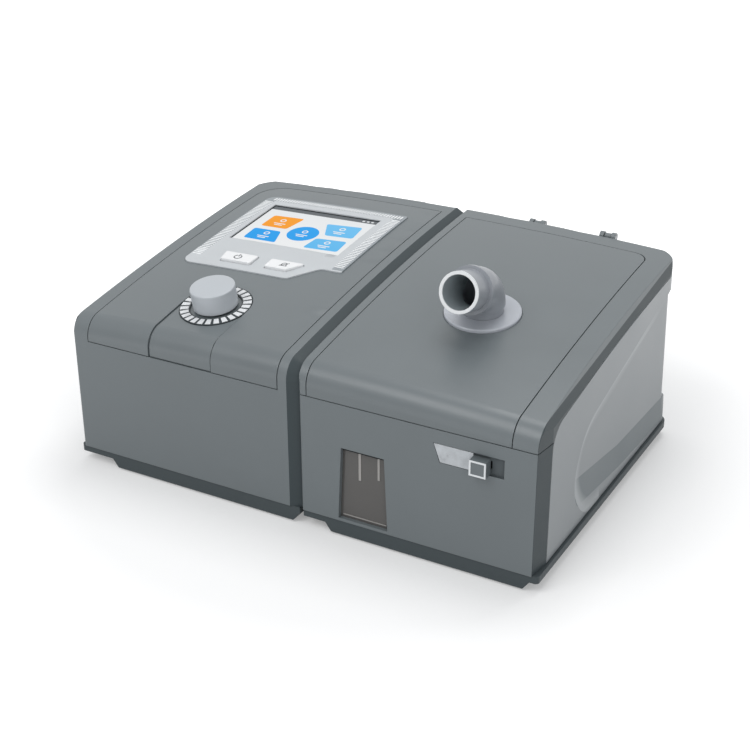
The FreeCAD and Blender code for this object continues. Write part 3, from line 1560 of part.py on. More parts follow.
def front_plate(x0, x1, z0, z1, y0, y1, slant=0.0):
    """Plate in the front wall whose left end slants inwards going down."""
    corners = [Vector(x0, y0, z1), Vector(x0 + slant, y0, z0), Vector(x1, y0, z0), Vector(x1, y0, z1),
               Vector(x0, y0, z1)]
    return Part.Face(Part.makePolygon(corners)).extrude(Vector(0, y1 - y0, 0))


LATCH_X0 = at["hum_left"] + d["latch_x"]
LATCH_X1 = LATCH_X0 + d["latch_length"]
LATCH_Z0 = at["latch_low"]
LATCH_Z1 = at["latch_low"] + d["latch_height"]
NECK_X0 = at["thumb_x"] - d["neck_reach"]
NECK_X1 = at["thumb_x"] + d["neck_lap"]
NECK_Z0 = LATCH_Z0 + d["neck_inset"]
NECK_Z1 = LATCH_Z1 - d["neck_inset"]


def hinge_places():
    return [at["hum_left"] + d["hinge_near"], at["hum_left"] + d["hinge_far"]]


def hinge_round(x0, x1, radius):
    return Part.makeCylinder(radius, x1 - x0, Vector(x0, at["hinge_y"], at["hinge_z"]), X_AXIS)


def body_lug(x):
    """Knuckle of the base on an arm up the outside of the rear wall."""
    half = d["lug_width"] / 2
    r = d["knuckle_radius"]
    low = at["hinge_z"] - d["lug_drop"]
    arm = box(x - half, at["back_y"] + d["gap"], low, x + half, at["hinge_y"] + r, at["hinge_z"])
    foot = box(x - half, at["back_y"] - d["wall"], low, x + half, at["hinge_y"], low + d["lug_foot"])
    lug = arm.fuse([foot, hinge_round(x - half, x + half, r)])
    return lug.cut(hinge_round(x - half - 1, x + half + 1, d["pin_radius"] + 0.005))


def lid_ears(x):
    """Two ears of the lid, one each side of the knuckle."""
    r = d["ear_radius"]
    ears = []
    for side in (-1, 1):
        inner = x + side * (d["lug_width"] / 2 + d["gap"])
        outer = inner + side * d["ear_width"]
        x0, x1 = min(inner, outer), max(inner, outer)
        web = box(x0, at["back_y"] - d["wall"], at["hinge_z"] - r, x1, at["hinge_y"], at["hinge_z"])
        ears.append(hinge_round(x0, x1, r).fuse(web))
    return ears


def latch_notch():
    """Space behind the front wall for the lid's tab and the latch hook."""
    front = at["front_y"] + d["wall"]
    middle = at["lid_seam_z"]
    return box(NECK_X0 - d["notch_near"], front, middle - 2 * d["wall"],
               NECK_X0 + d["notch_far"] + d["latch_travel"],
               at["hook_y"] + d["hook_thick"] + 2 * d["gap"], middle + d["wall"])


def deck_zone(extra):
    """What lies under the lid: the front part below the seam, the rest below the band."""
    return below(at["lid_seam_z"] - extra).fuse(under_band(d["seam"] + extra))


def tank_opening():
    return box(at["tank_x"] - 2, at["tank_y"] - 2, at["tank_top"] - 10, at["tank_x"] + d["tank_width"] + 2,
               at["tank_y"] + d["tank_depth"] + 2, REACH)


def humidifier_shell():
    shell = HUM_OUTER.common(deck_zone(0)).cut(HUM_INNER.common(deck_zone(d["wall"])))
    shell = shell.cut(tank_opening())
    seat = side_seat(1, hum_plan, HUM_OUTER)
    backing = HUM_OUTER.common(side_zone(1, d["wall"])).common(deck_zone(0))
    backing = backing.cut(hum_plan(d["side_thick"] + d["seam"] / 3 + d["wall"]))
    shell = shell.fuse(backing).cut(seat)
    shell = add_bosses(shell, 1, HUM_OUTER)
    front = at["front_y"]
    shell = shell.cut(window_prism(0, front - 1, front + 2 * d["wall"]))
    travel = d["latch_travel"] + 2 * d["gap"]
    shell = shell.cut(front_plate(LATCH_X0 - d["gap"], LATCH_X1 + travel,
                                  LATCH_Z0 - d["gap"], LATCH_Z1 + d["gap"],
                                  front - 1, front + d["latch_depth"], d["latch_slant"]))
    shell = shell.cut(box(NECK_X0 - d["gap"], front - 1, NECK_Z0 - d["gap"], NECK_X1 + travel,
                          front + 2 * d["wall"], NECK_Z1 + d["gap"]))
    port = Vector(at["hum_left"] - 1, at["port_y"], at["port_z"])
    radius = d["duct_radius"] + d["duct_wall"] + d["gap"]
    shell = shell.cut(Part.makeCylinder(radius, 3 * d["wall"], port, X_AXIS))
    for x in hinge_places():
        shell = shell.fuse(body_lug(x))
    return put_shape("humidifier_shell", shell.cut(latch_notch()))


def lid_frame():
    above_seam = above(at["lid_seam_z"] + d["seam"])
    frame = HUM_OUTER.cut(HUM_INNER).cut(under_band(0)).common(above_seam)
    frame = frame.cut(lid_plan(d["seam"]).cut(hull(d["wall"] + d["ledge_thick"])))
    frame = frame.fuse(ledge_under(lid_plan, HUM_INNER).common(above_seam))
    for x in hinge_places():
        half = d["lug_width"] / 2 + d["gap"]
        frame = frame.cut(hinge_round(x - half, x + half, d["knuckle_radius"] + d["gap"]))
        for ear in lid_ears(x):
            frame = frame.fuse(ear)
        reach = half + d["ear_width"] + 1
        frame = frame.cut(hinge_round(x - reach, x + reach, d["pin_radius"] + 0.05))
    return put_shape("lid_frame", frame.cut(latch_notch()))


def lid_panel():
    """Inset top of the lid, with the outlet seat and the latch tab."""
    panel = HUM_OUTER.cut(hull(d["wall"])).common(lid_plan(0)).common(above(at["lid_seam_z"] + d["seam"]))
    dish = Part.makeCylinder(d["flange_radius"] + d["gap"], 20.0, Vector(0, 0, -d["flange_sunk"]))
    radius = d["outlet_radius"] + d["sleeve_wall"] + 2 * d["snug"]
    sleeve = Part.makeCylinder(radius, 20.0, Vector(0, 0, -10.0))
    panel = panel.cut(placed(dish, OUTLET)).cut(placed(sleeve, OUTLET))
    tab_x1 = NECK_X0 - d["tab_gap"]
    tab_x0 = tab_x1 - d["tab_width"]
    front = at["front_y"] + d["wall"]
    back = at["hook_y"] + d["hook_thick"]
    low = at["lid_seam_z"] - d["tab_height"]
    high = at["lid_seam_z"] + d["tab_height"]
    tab = box(tab_x0, at["hook_y"], low, tab_x1, back, high)
    root = box(tab_x0, front - 1, high - d["tab_root"], tab_x1, back, high)
    return put_shape("lid_panel", panel.fuse([tab, root]))


humidifier_shell()
side_panel("humidifier_side_panel", 1, hum_plan, HUM_OUTER)
lid_frame()
lid_panel()
put_shape("window_pane", window_prism(d["pane_lap"], at["front_y"] + d["wall"],
                                      at["front_y"] + d["wall"] + d["pane_thick"]))
pins = []
for place in hinge_places():
    reach = d["lug_width"] / 2 + d["gap"] + d["ear_width"]
    pins.append(hinge_round(place - reach, place + reach, d["pin_radius"]))
put_shape("hinge_pins", Part.makeCompound(pins))


# ---------------------------------------------------------------- outlet

def outlet_flange():
    bore = "dims.outlet_radius + dims.running_fit"
    sleeve = "dims.outlet_radius + dims.sleeve_wall"
    corners = [(bore, "-dims.socket_depth"), (sleeve, "-dims.socket_depth"), (sleeve, "-dims.flange_sunk"),
               ("dims.flange_radius", "-dims.flange_sunk"),
               ("dims.flange_radius", "dims.flange_proud - dims.flange_bevel"),
               ("dims.flange_radius - dims.flange_bevel", "dims.flange_proud"),
               (bore, "dims.flange_proud")]
    return framed(turned("outlet_flange", corners), OUTLET)


def elbow_path(start, end_cut):
    """Line up the socket axis, bend, and line out along the outlet."""
    up = OUTLET.Rotation.multVec(Z_AXIS)
    tilt = math.radians(d["outlet_tilt"])
    out = Vector(0, -math.cos(tilt), math.sin(tilt))
    turn = up.getAngle(out)
    tangent = d["elbow_bend"] * math.tan(turn / 2)
    corner = OUTLET.multVec(Vector(0, 0, d["elbow_rise"]))
    a = OUTLET.multVec(Vector(0, 0, start))
    b = corner - up * tangent
    c = corner + out * tangent
    e = corner + out * (d["elbow_reach"] - end_cut)
    centre = corner + (out - up).normalize() * (d["elbow_bend"] / math.cos(turn / 2))
    middle = centre + (corner - centre).normalize() * d["elbow_bend"]
    return a, b, middle, c, e, up, out


def pipe(points, radius, straight_in=True, straight_out=True):
    a, b, middle, c, e, up, out = points
    solids = []
    bend = Part.Wire([Part.Arc(b, middle, c).toShape()])
    circle = Part.Face(Part.Wire([Part.Circle(b, up, radius).toShape()]))
    solids.append(bend.makePipe(circle))
    if straight_in:
        solids.append(Part.makeCylinder(radius, (b - a).Length, a, up))
    if straight_out:
        solids.append(Part.makeCylinder(radius, (e - c).Length, c, out))
    return solids[0].fuse(solids[1:])


def outlet_elbow():
    points = elbow_path(-d["socket_depth"], 0)
    a, b, middle, c, e, up, out = points
    solid = pipe(points, d["outlet_radius"])
    fat = elbow_path(0, d["collar_back"])
    solid = solid.fuse(pipe(fat, d["elbow_radius"], straight_in=False))
    length = d["collar_length"]
    collar = Part.makeCylinder(d["collar_radius"], length, fat[4] - out * length, out)
    solid = solid.fuse(collar)
    longer = elbow_path(-d["socket_depth"] - 1, -1)
    return put_shape("outlet_elbow", solid.cut(pipe(longer, d["outlet_bore"])))


def lid_seal():
    """Rubber sleeve from the lid's underside down to the tank's chimney."""
    outer = d["chimney_radius"]
    height = surface_z(at["outlet_x"], at["outlet_y"] + outer) - at["chimney_top"]
    low = Vector(at["outlet_x"], at["outlet_y"], at["chimney_top"] + d["gap"])
    ring = tube(outer - d["chimney_wall"], outer, height, low)
    ring = ring.common(hull(d["wall"] + d["snug"] / 2))
    radius = d["outlet_radius"] + d["sleeve_wall"] + d["snug"]
    sleeve = Part.makeCylinder(radius, 20.0, Vector(0, 0, -10.0))
    return put_shape("lid_seal", ring.cut(placed(sleeve, OUTLET)))


outlet_flange()
outlet_elbow()
lid_seal()


# ---------------------------------------------------------------- latch

def latch_slider():
    front = at["front_y"]
    depth = d["latch_depth"] - d["gap"]
    x0 = at["thumb_x"]
    inner = front + d["wall"] + d["gap"]
    thumb = box(x0, front - d["latch_proud"], LATCH_Z0,
                LATCH_X1, front + depth, LATCH_Z0 + d["thumb_height"])
    bar = box(NECK_X0, front + depth / 2, NECK_Z0, x0 + 1, front + depth, NECK_Z1)
    neck = box(NECK_X0, front + depth / 2, NECK_Z0, NECK_X1, inner + 1, NECK_Z1)
    back = at["hook_y"] + d["hook_thick"]
    near_x = NECK_X0 - d["plate_lap"]
    plate = box(near_x, inner, LATCH_Z0 - 1, NECK_X1 + d["plate_lap"], back, LATCH_Z1)
    hook = box(near_x, at["hook_y"], LATCH_Z0, near_x + d["hook_width"], back, at["lid_seam_z"] + 1)
    return put_shape("latch_slider", thumb.fuse([bar, neck, plate, hook]))


def latch_plate():
    front = at["front_y"]
    depth = d["latch_depth"] - d["gap"]
    plate = front_plate(LATCH_X0, at["thumb_x"], LATCH_Z0, LATCH_Z1, front, front + depth, d["latch_slant"])
    keep = box(NECK_X0, front + depth / 2, NECK_Z0, REACH, front + 2 * depth, NECK_Z1)
    return put_shape("latch_plate", plate.cut(keep))


latch_slider()
latch_plate()


# ---------------------------------------------------------------- humidifier inside

hum_base = unit_base("humidifier_base", 1, "at.hum_left", "at.right_x",
                     "dims.hum_plinth_left", "dims.hum_plinth_right")
TANK_MID_X = "at.tank_x + dims.tank_width / 2"
TANK_MID_Y = "at.tank_y + dims.tank_depth / 2"
CARRIER_OUT = "dims.heater_radius * 0.7"
CARRIER_PLACES = [(f"{TANK_MID_X} {a} {CARRIER_OUT}", f"{TANK_MID_Y} {b} {CARRIER_OUT}")
                  for a in "-+" for b in "-+"]
TRAY_PLACES = [(x, y)
               for x in ("at.tank_x + dims.tank_corner", "at.tank_x + dims.tank_width - dims.tank_corner")
               for y in ("at.tank_y + dims.tank_corner", "at.tank_y + dims.tank_depth - dims.tank_corner")]
add_posts(hum_base, "dims.post_radius", CARRIER_PLACES, "at.carrier_z")
add_posts(hum_base, "dims.post_radius", TRAY_PLACES, "at.tray_z")
drill_base(hum_base, 1)
feet("humidifier_feet", "at.hum_left", "at.right_x", "dims.hum_plinth_left", "dims.hum_plinth_right")
screws("humidifier_screws", 1)


def tank_slab(label, z, height):
    """Plate with the tank's footprint."""
    body = slab(label, "at.tank_x", "at.tank_y", z, "dims.tank_width", "dims.tank_depth", height)
    tall = {"water_tank": d["tank_height"], "tank_seal": d["tank_seal"], "tank_tray": d["tray_thick"],
            "tank_cover": d["tank_cover"] - d["tank_seal"]}[label]
    round_edges(body, "dims.tank_corner", lambda e: near(e.BoundBox.ZLength, tall))
    return body


def hollow(body, lift, depth):
    """Pocket inside the tank's wall, with cut corners."""
    edge = "dims.tank_wall"
    step = "dims.tank_wall + dims.tank_corner / 2"
    wide, deep = "dims.tank_width", "dims.tank_depth"
    sketch = new_sketch(body, "XY_Plane", lift)
    draw_polygon(sketch, [(step, edge), (f"{wide} - ({step})", edge),
                          (f"{wide} - {edge}", step), (f"{wide} - {edge}", f"{deep} - ({step})"),
                          (f"{wide} - ({step})", f"{deep} - {edge}"), (step, f"{deep} - {edge}"),
                          (edge, f"{deep} - ({step})"), (edge, step)])
    pocket(body, sketch, depth)


def water_tank():
    body = tank_slab("water_tank", "at.tank_z", "dims.tank_height")
    hollow(body, "dims.tank_height", "dims.tank_height - dims.tank_wall")
    floor = new_sketch(body, "XY_Plane", "dims.tank_wall")
    draw_circle(floor, "dims.heater_radius - 2", "dims.tank_width / 2", "dims.tank_depth / 2")
    pocket(body, floor, "dims.tank_wall")
    reach = "dims.tank_inset - dims.nozzle_reach + dims.unit_gap"
    boss = new_sketch(body, "YZ_Plane", f"-({reach} - dims.gap)")
    port = ("at.port_y - at.tank_y", "at.port_z - at.tank_z")
    draw_circle(boss, "dims.duct_radius + dims.duct_wall", *port)
    pad(body, boss, f"{reach} - dims.gap")
    bore = new_sketch(body, "YZ_Plane", "dims.tank_wall")
    draw_circle(bore, "dims.duct_radius", *port)
    pocket(body, bore, f"{reach} + dims.tank_wall")
    return body


def tank_cover():
    body = tank_slab("tank_cover", "at.tank_top + dims.tank_seal", "dims.tank_cover - dims.tank_seal")
    place = ("at.outlet_x - at.tank_x", "at.outlet_y - at.tank_y")
    chimney = new_sketch(body, "XY_Plane")
    draw_circle(chimney, "dims.chimney_radius", *place)
    pad(body, chimney, "at.chimney_top - at.tank_top - dims.tank_seal")
    bore = new_sketch(body, "XY_Plane")
    draw_circle(bore, "dims.chimney_radius - dims.chimney_wall", *place)
    pocket(body, bore, "at.chimney_top", upward=True)
    return body


def tank_tray():
    body = tank_slab("tank_tray", "at.tray_z", "dims.tray_thick")
    hole = new_sketch(body, "XY_Plane", "dims.tray_thick")
    draw_circle(hole, "dims.heater_radius + 0.2", "dims.tank_width / 2", "dims.tank_depth / 2")
    pocket(body, hole, "dims.tray_thick")
    return body


def tank_plate():
    """Metal plate that closes the hole in the tank's floor and lies on the heater."""
    plug = "dims.heater_radius - 2.1"
    brim = "dims.heater_radius + 1"
    floor = "dims.tank_wall"
    top = "dims.tank_wall + 1"
    corners = [("0", "0"), (plug, "0"), (plug, floor), (brim, floor), (brim, top), ("0", top)]
    return turned("tank_plate", corners, TANK_MID_X, TANK_MID_Y, "at.tank_z")


def round_plate(label, radius, thick, z):
    """Disc under the middle of the tank."""
    corners = [("0", "0"), (radius, "0"), (radius, thick), ("0", thick)]
    return turned(label, corners, TANK_MID_X, TANK_MID_Y, z)


water_tank()
hollow(tank_slab("tank_seal", "at.tank_top", "dims.tank_seal"), "dims.tank_seal", "dims.tank_seal")
tank_cover()
tank_tray()
tank_plate()
round_plate("heater_plate", "dims.heater_radius", "dims.heater_thick", "at.tank_z - dims.heater_thick")
round_plate("heater_carrier", "dims.heater_radius + dims.carrier_lap", "dims.carrier_thick", "at.carrier_z")


def inlet_seal():
    """Rubber ring in the docking port, lightly clear of the nozzle."""
    body = new_body("inlet_seal", "at.hum_left + dims.wall", "at.port_y", "at.port_z")
    ring = new_sketch(body, "YZ_Plane")
    draw_circle(ring, "dims.duct_radius + dims.duct_wall + dims.seal_thick")
    draw_circle(ring, "dims.duct_radius + dims.duct_wall + dims.gap / 3")
    pad(body, ring, "dims.seal_thick")


inlet_seal()


# ---------------------------------------------------------------- checks and files

def check_document():
    doc.recompute()
    for item in doc.Objects:
        faults = [state for state in item.State if state in ("Invalid", "Error")]
        if faults:
            raise RuntimeError(f"{item.Label}: {faults}")
    for part in parts:
        if part.Shape.isNull() or not part.Shape.isValid() or not part.Shape.Solids:
            raise RuntimeError(f"{part.Label}: no valid solid")


def write_parts():
    os.makedirs("parts", exist_ok=True)
    for part in parts:
        part.Shape.exportStep(os.path.join("parts", part.Label + ".step"))


check_document()
write_parts()
print(f"{len(parts)} parts written")
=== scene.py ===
import math

import bmesh
import bpy
from mathutils import Matrix, Vector
from mathutils.bvhtree import BVHTree


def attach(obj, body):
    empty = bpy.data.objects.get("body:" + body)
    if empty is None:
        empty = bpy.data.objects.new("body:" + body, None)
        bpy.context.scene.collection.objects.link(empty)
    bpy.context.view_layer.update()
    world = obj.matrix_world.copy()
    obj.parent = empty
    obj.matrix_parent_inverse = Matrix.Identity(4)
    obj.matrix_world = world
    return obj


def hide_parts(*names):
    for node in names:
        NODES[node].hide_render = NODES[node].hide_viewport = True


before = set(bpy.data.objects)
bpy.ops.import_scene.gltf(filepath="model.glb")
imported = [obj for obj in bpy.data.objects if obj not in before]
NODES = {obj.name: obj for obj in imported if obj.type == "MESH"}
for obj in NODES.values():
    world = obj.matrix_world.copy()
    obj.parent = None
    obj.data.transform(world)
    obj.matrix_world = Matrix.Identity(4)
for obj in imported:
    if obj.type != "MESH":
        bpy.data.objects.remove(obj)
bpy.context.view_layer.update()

# Looks of the breathing-air machine. Sizes are in millimetres, and MM turns them to metres.
# The table top, the lights and the camera are in metres.

MM = 0.001
FULL_TURN = 2 * math.pi

# places of the sloping pieces: origin and upright direction, as the source has them
SCREEN_SEAT = ((-69.6, 33.6, 111.747), (-0.030576, -0.098673, 0.994650))
DIAL_SEAT = ((-67.7, -63.0, 98.905), (-0.029643, -0.165776, 0.985718))
OUTLET_SEAT = ((71.0, -16.8, 105.805), (0.031144, -0.133683, 0.990535))
OUTLET_TILT = math.radians(15.0)   # of the outlet's axis, up from level
ELBOW_RISE = 15.0                  # from the outlet's seat to the elbow's corner


def seat(place):
    """Turns a flat piece drawn in millimetres onto the machine, in metres."""
    origin, upright = place
    turn = Vector((0, 0, 1)).rotation_difference(Vector(upright)).to_matrix().to_4x4()
    return Matrix.Translation(Vector(origin) * MM) @ turn @ Matrix.Scale(MM, 4)


FLAT = Matrix.Scale(MM, 4)
ON_SCREEN = seat(SCREEN_SEAT)
ON_DIAL = seat(DIAL_SEAT)


# ---------------------------------------------------------------- where materials change tone

# A limit is an axis, a side and millimetres. The sides have the names of a Math node's tests.
ABOVE, BELOW = "GREATER_THAN", "LESS_THAN"

DOCK_BEVEL_X = -0.2
SIDE_BEVEL_X = 139.15

# the ribbed border of the display surround, whose floor gets painted shade: where it begins at its three edges,
# and at the front
RIB_LIMITS = (("X", BELOW, -110.8), ("X", ABOVE, -26.8), ("Y", ABOVE, 64.8))
RIB_START = -8.0

# the track in the front lip that the latch slides in, darkened with painted shade
TRACK_LIMITS = (("X", ABOVE, 84.0), ("X", BELOW, 124.0), ("Z", ABOVE, 60.0), ("Z", BELOW, 71.0),
                ("Y", ABOVE, -98.9), ("Y", BELOW, -97.0))

# the upper edge of a side cover's recess: a round tip, then a rising line that runs out of it
LEAF_CENTRE = (0.0, -20.0, 40.0)
LEAF_RADIUS = 30.2
LEAF_TURN = math.radians(14.0)
LEAF_FADE = (2.5, 8.5)     # how far in from the edge the light zone begins and ends to fade
LEAF_END = (60.0, 100.0)   # the same along the edge, from the middle of the tip
# the lower slope of the same recess, darkened with painted shade: the least upward part of its normal, and
# where it lies
SLOPE_RISE = 0.06
SLOPE_LIMITS = (("Z", BELOW, 60.0), ("Y", BELOW, 90.0))

# the elbow's bore and the lip of its mouth: distance along the outlet's axis, and two radii
ELBOW_BORE = (1.5, 0.0, 9.5)
ELBOW_LIP = (29.4, 9.0, 20.0)


# ---------------------------------------------------------------- colours and nodes

# a Mix node's setting for colours, and the sockets that it then uses
COLOURS = {"data_type": "RGBA"}
FACTOR, FIRST, SECOND, MIXED = 0, 6, 7, 2


def srgb(code):
    """Linear colour from an sRGB hex value."""
    parts = [int(code[i:i + 2], 16) / 255 for i in (1, 3, 5)]
    linear = [v / 12.92 if v <= 0.04045 else ((v + 0.055) / 1.055) ** 2.4 for v in parts]
    return (*linear, 1.0)


def toned(code, share):
    """The same colour with that share of its light."""
    return (*(min(v * share, 1) for v in srgb(code)[:3]), 1.0)


def grains(size):
    """Noise scale whose grain is about that many millimetres across."""
    return 1 / (size * MM)


def new_material(name):
    """Material with an empty node tree."""
    material = bpy.data.materials.new(name)
    material.use_nodes = True
    material.node_tree.nodes.clear()
    return material, material.node_tree


def add_node(tree, kind, settings=None, inputs=None):
    """Adds a node, sets its properties, and sets or links its inputs."""
    node = tree.nodes.new(kind)
    for name, value in (settings or {}).items():
        setattr(node, name, value)
    for name, value in (inputs or {}).items():
        if isinstance(value, bpy.types.NodeSocket):
            tree.links.new(value, node.inputs[name])
        else:
            node.inputs[name].default_value = value
    return node


def product(tree, factors):
    """All factors multiplied: of tests, 1 where every one holds."""
    whole, *others = factors
    for factor in others:
        whole = add_node(tree, "ShaderNodeMath", {"operation": "MULTIPLY"}, {0: whole, 1: factor}).outputs[0]
    return whole


def beyond(tree, place, limits):
    """1 where the point lies within all limits."""
    axes = add_node(tree, "ShaderNodeSeparateXYZ", None, {0: place})
    tests = [add_node(tree, "ShaderNodeMath", {"operation": side}, {0: axes.outputs[axis], 1: value * MM})
             for axis, side, value in limits]
    return product(tree, [test.outputs[0] for test in tests])


def facing(tree, place, direction, least, limits):
    """1 where the surface turns towards a direction by at least that cosine, and within the limits."""
    normal = add_node(tree, "ShaderNodeTexCoord").outputs["Normal"]
    turn = add_node(tree, "ShaderNodeVectorMath", {"operation": "DOT_PRODUCT"}, {0: normal, 1: direction})
    test = add_node(tree, "ShaderNodeMath", {"operation": ABOVE}, {0: turn.outputs["Value"], 1: least})
    return product(tree, [test.outputs[0], beyond(tree, place, limits)])


def leaf_glow(tree, place):
    """Mask of a painted highlight: falls from 1 at the upper edge of a side cover's recess to 0 some
    millimetres inside it.
    """
    turned = add_node(tree, "ShaderNodeMapping", {"vector_type": "TEXTURE"},
                      {"Vector": place, "Location": Vector(LEAF_CENTRE) * MM,
                       "Rotation": (LEAF_TURN, 0.0, 0.0)})
    axes = add_node(tree, "ShaderNodeSeparateXYZ", None, {0: turned.outputs[0]})
    along, up = axes.outputs["Y"], axes.outputs["Z"]
    ahead = add_node(tree, "ShaderNodeMath", {"operation": "MINIMUM"}, {0: along, 1: 0.0})
    flat = add_node(tree, "ShaderNodeCombineXYZ", None, {"Y": ahead.outputs[0], "Z": up})
    far = add_node(tree, "ShaderNodeVectorMath", {"operation": "LENGTH"}, {0: flat.outputs[0]})
    deep = add_node(tree, "ShaderNodeMath", {"operation": "SUBTRACT"},
                    {0: LEAF_RADIUS * MM, 1: far.outputs["Value"]})
    fades = [add_node(tree, "ShaderNodeMapRange", None,
                      {"Value": value, "From Min": start * MM, "From Max": end * MM,
                       "To Min": 1.0, "To Max": 0.0})
             for value, (start, end) in ((deep.outputs[0], LEAF_FADE), (along, LEAF_END))]
    inside = add_node(tree, "ShaderNodeMath", {"operation": ABOVE}, {0: deep.outputs[0], 1: 0.0})
    tip = add_node(tree, "ShaderNodeMath", {"operation": BELOW}, {0: along, 1: 0.0})
    above = add_node(tree, "ShaderNodeMath", {"operation": ABOVE}, {0: up, 1: 0.0})
    upper = add_node(tree, "ShaderNodeMath", {"operation": "MAXIMUM"}, {0: tip.outputs[0], 1: above.outputs[0]})
    return product(tree, [part.outputs[0] for part in (*fades, inside, upper)])


def in_outlet(tree, place, reach, inner, outer):
    """1 beyond a distance along the outlet's axis and between two radii about it, in millimetres."""
    origin, upright = OUTLET_SEAT
    corner = (Vector(origin) + Vector(upright) * ELBOW_RISE) * MM
    along = Vector((0, -math.cos(OUTLET_TILT), math.sin(OUTLET_TILT)))
    offset = add_node(tree, "ShaderNodeVectorMath", {"operation": "SUBTRACT"}, {0: place, 1: corner}).outputs[0]
    across = add_node(tree, "ShaderNodeVectorMath", {"operation": "CROSS_PRODUCT"}, {0: offset, 1: along})
    far = add_node(tree, "ShaderNodeVectorMath", {"operation": "LENGTH"}, {0: across.outputs[0]})
    ahead = add_node(tree, "ShaderNodeVectorMath", {"operation": "DOT_PRODUCT"}, {0: offset, 1: along})
    tests = [add_node(tree, "ShaderNodeMath", {"operation": side}, {0: node.outputs["Value"], 1: limit * MM})
             for node, side, limit in ((ahead, ABOVE, reach), (far, ABOVE, inner), (far, BELOW, outer))]
    return product(tree, [test.outputs[0] for test in tests])


EDGE = 0.45            # radius that the eye sees on moulded edges
DULL = 0.15            # specular level of the grained zones, which hardly mirror the room
SPECK_SHARE = 0.35     # of the fine grain in a moulding's tones
GLOSS_SWING = 0.04     # how far the clouds move a moulding's roughness, either way
LINE_SWING = 0.08      # the same for the tool lines of a metal
LINE_TONE = 0.8        # light left in the darker tone of those lines
FLOW_WAVE = 14.0       # across the flow waves of a clear moulding
FLOW_TONE = 0.92       # light left in their darker tone
PIT_TONE = 0.45        # light left in the pits of a foam
SCREEN_FADE = (8.0, 60.0)   # from front to rear, where the screen's colours fade
DOT_PITCH = 4.0        # of the screen's dots, far coarser than real ones


def moulded(name, colour, roughness=0.4, spread=0.03, grain=0.6, depth=0.012, edge=EDGE, zones=(),
            specular=0.5, cloud_size=38.0):
    """Moulded plastic: two close tones, a fine tool grain, soft edges, and zones of other colours.

    A zone is a colour, the function that finds it, and that function's values.
    """
    material, tree = new_material(name)
    place = add_node(tree, "ShaderNodeTexCoord").outputs["Object"]
    cloud = add_node(tree, "ShaderNodeTexNoise", None,
                     {"Vector": place, "Scale": grains(cloud_size), "Detail": 3.0})
    speck = add_node(tree, "ShaderNodeTexNoise", None,
                     {"Vector": place, "Scale": grains(grain), "Detail": 2.0})
    both = add_node(tree, "ShaderNodeMath", {"operation": "MULTIPLY_ADD"},
                    {0: speck.outputs["Fac"], 1: SPECK_SHARE, 2: cloud.outputs["Fac"]})
    tone = add_node(tree, "ShaderNodeMapRange", None,
                    {"Value": both.outputs[0], "From Min": 0.45, "From Max": 0.9})
    shade = add_node(tree, "ShaderNodeMix", COLOURS,
                     {FACTOR: tone.outputs[0], FIRST: toned(colour, 1 - spread),
                      SECOND: toned(colour, 1 + spread)}).outputs[MIXED]
    shine = specular
    for zone_colour, find, *values in zones:
        factor = find(tree, place, *values)
        shade = add_node(tree, "ShaderNodeMix", COLOURS,
                         {FACTOR: factor, FIRST: shade, SECOND: srgb(zone_colour)}).outputs[MIXED]
        shine = add_node(tree, "ShaderNodeMix", None, {"Factor": factor, "A": shine, "B": DULL}).outputs[0]
    rough = add_node(tree, "ShaderNodeMapRange", None,
                     {"Value": cloud.outputs["Fac"], "From Min": 0.3, "From Max": 0.7,
                      "To Min": roughness - GLOSS_SWING, "To Max": roughness + GLOSS_SWING})
    soft = add_node(tree, "ShaderNodeBevel", {"samples": 6}, {"Radius": edge * MM})
    bump = add_node(tree, "ShaderNodeBump", None,
                    {"Strength": 0.35, "Distance": depth * MM, "Height": speck.outputs["Fac"],
                     "Normal": soft.outputs[0]})
    shader = add_node(tree, "ShaderNodeBsdfPrincipled", None,
                      {"Base Color": shade, "Roughness": rough.outputs[0], "Normal": bump.outputs[0],
                       "IOR": 1.53, "Specular IOR Level": shine})
    add_node(tree, "ShaderNodeOutputMaterial", None, {"Surface": shader.outputs[0]})
    return material


def clear(name, colour, roughness, see_through, ior=1.49):
    """Clear moulding: tinted, smooth, with faint flow waves."""
    material, tree = new_material(name)
    place = add_node(tree, "ShaderNodeTexCoord").outputs["Object"]
    wave = add_node(tree, "ShaderNodeTexNoise", None,
                    {"Vector": place, "Scale": grains(FLOW_WAVE), "Detail": 1.0})
    shade = add_node(tree, "ShaderNodeMix", COLOURS,
                     {FACTOR: wave.outputs["Fac"], FIRST: srgb(colour), SECOND: toned(colour, FLOW_TONE)})
    bump = add_node(tree, "ShaderNodeBump", None,
                    {"Strength": 0.15, "Distance": 0.02 * MM, "Height": wave.outputs["Fac"]})
    body = add_node(tree, "ShaderNodeBsdfPrincipled", None,
                    {"Base Color": shade.outputs[MIXED], "Roughness": roughness, "IOR": ior,
                     "Normal": bump.outputs[0]})
    gap = add_node(tree, "ShaderNodeBsdfTransparent")
    mix = add_node(tree, "ShaderNodeMixShader", None, {0: see_through, 1: body.outputs[0], 2: gap.outputs[0]})
    add_node(tree, "ShaderNodeOutputMaterial", None, {"Surface": mix.outputs[0]})
    return material


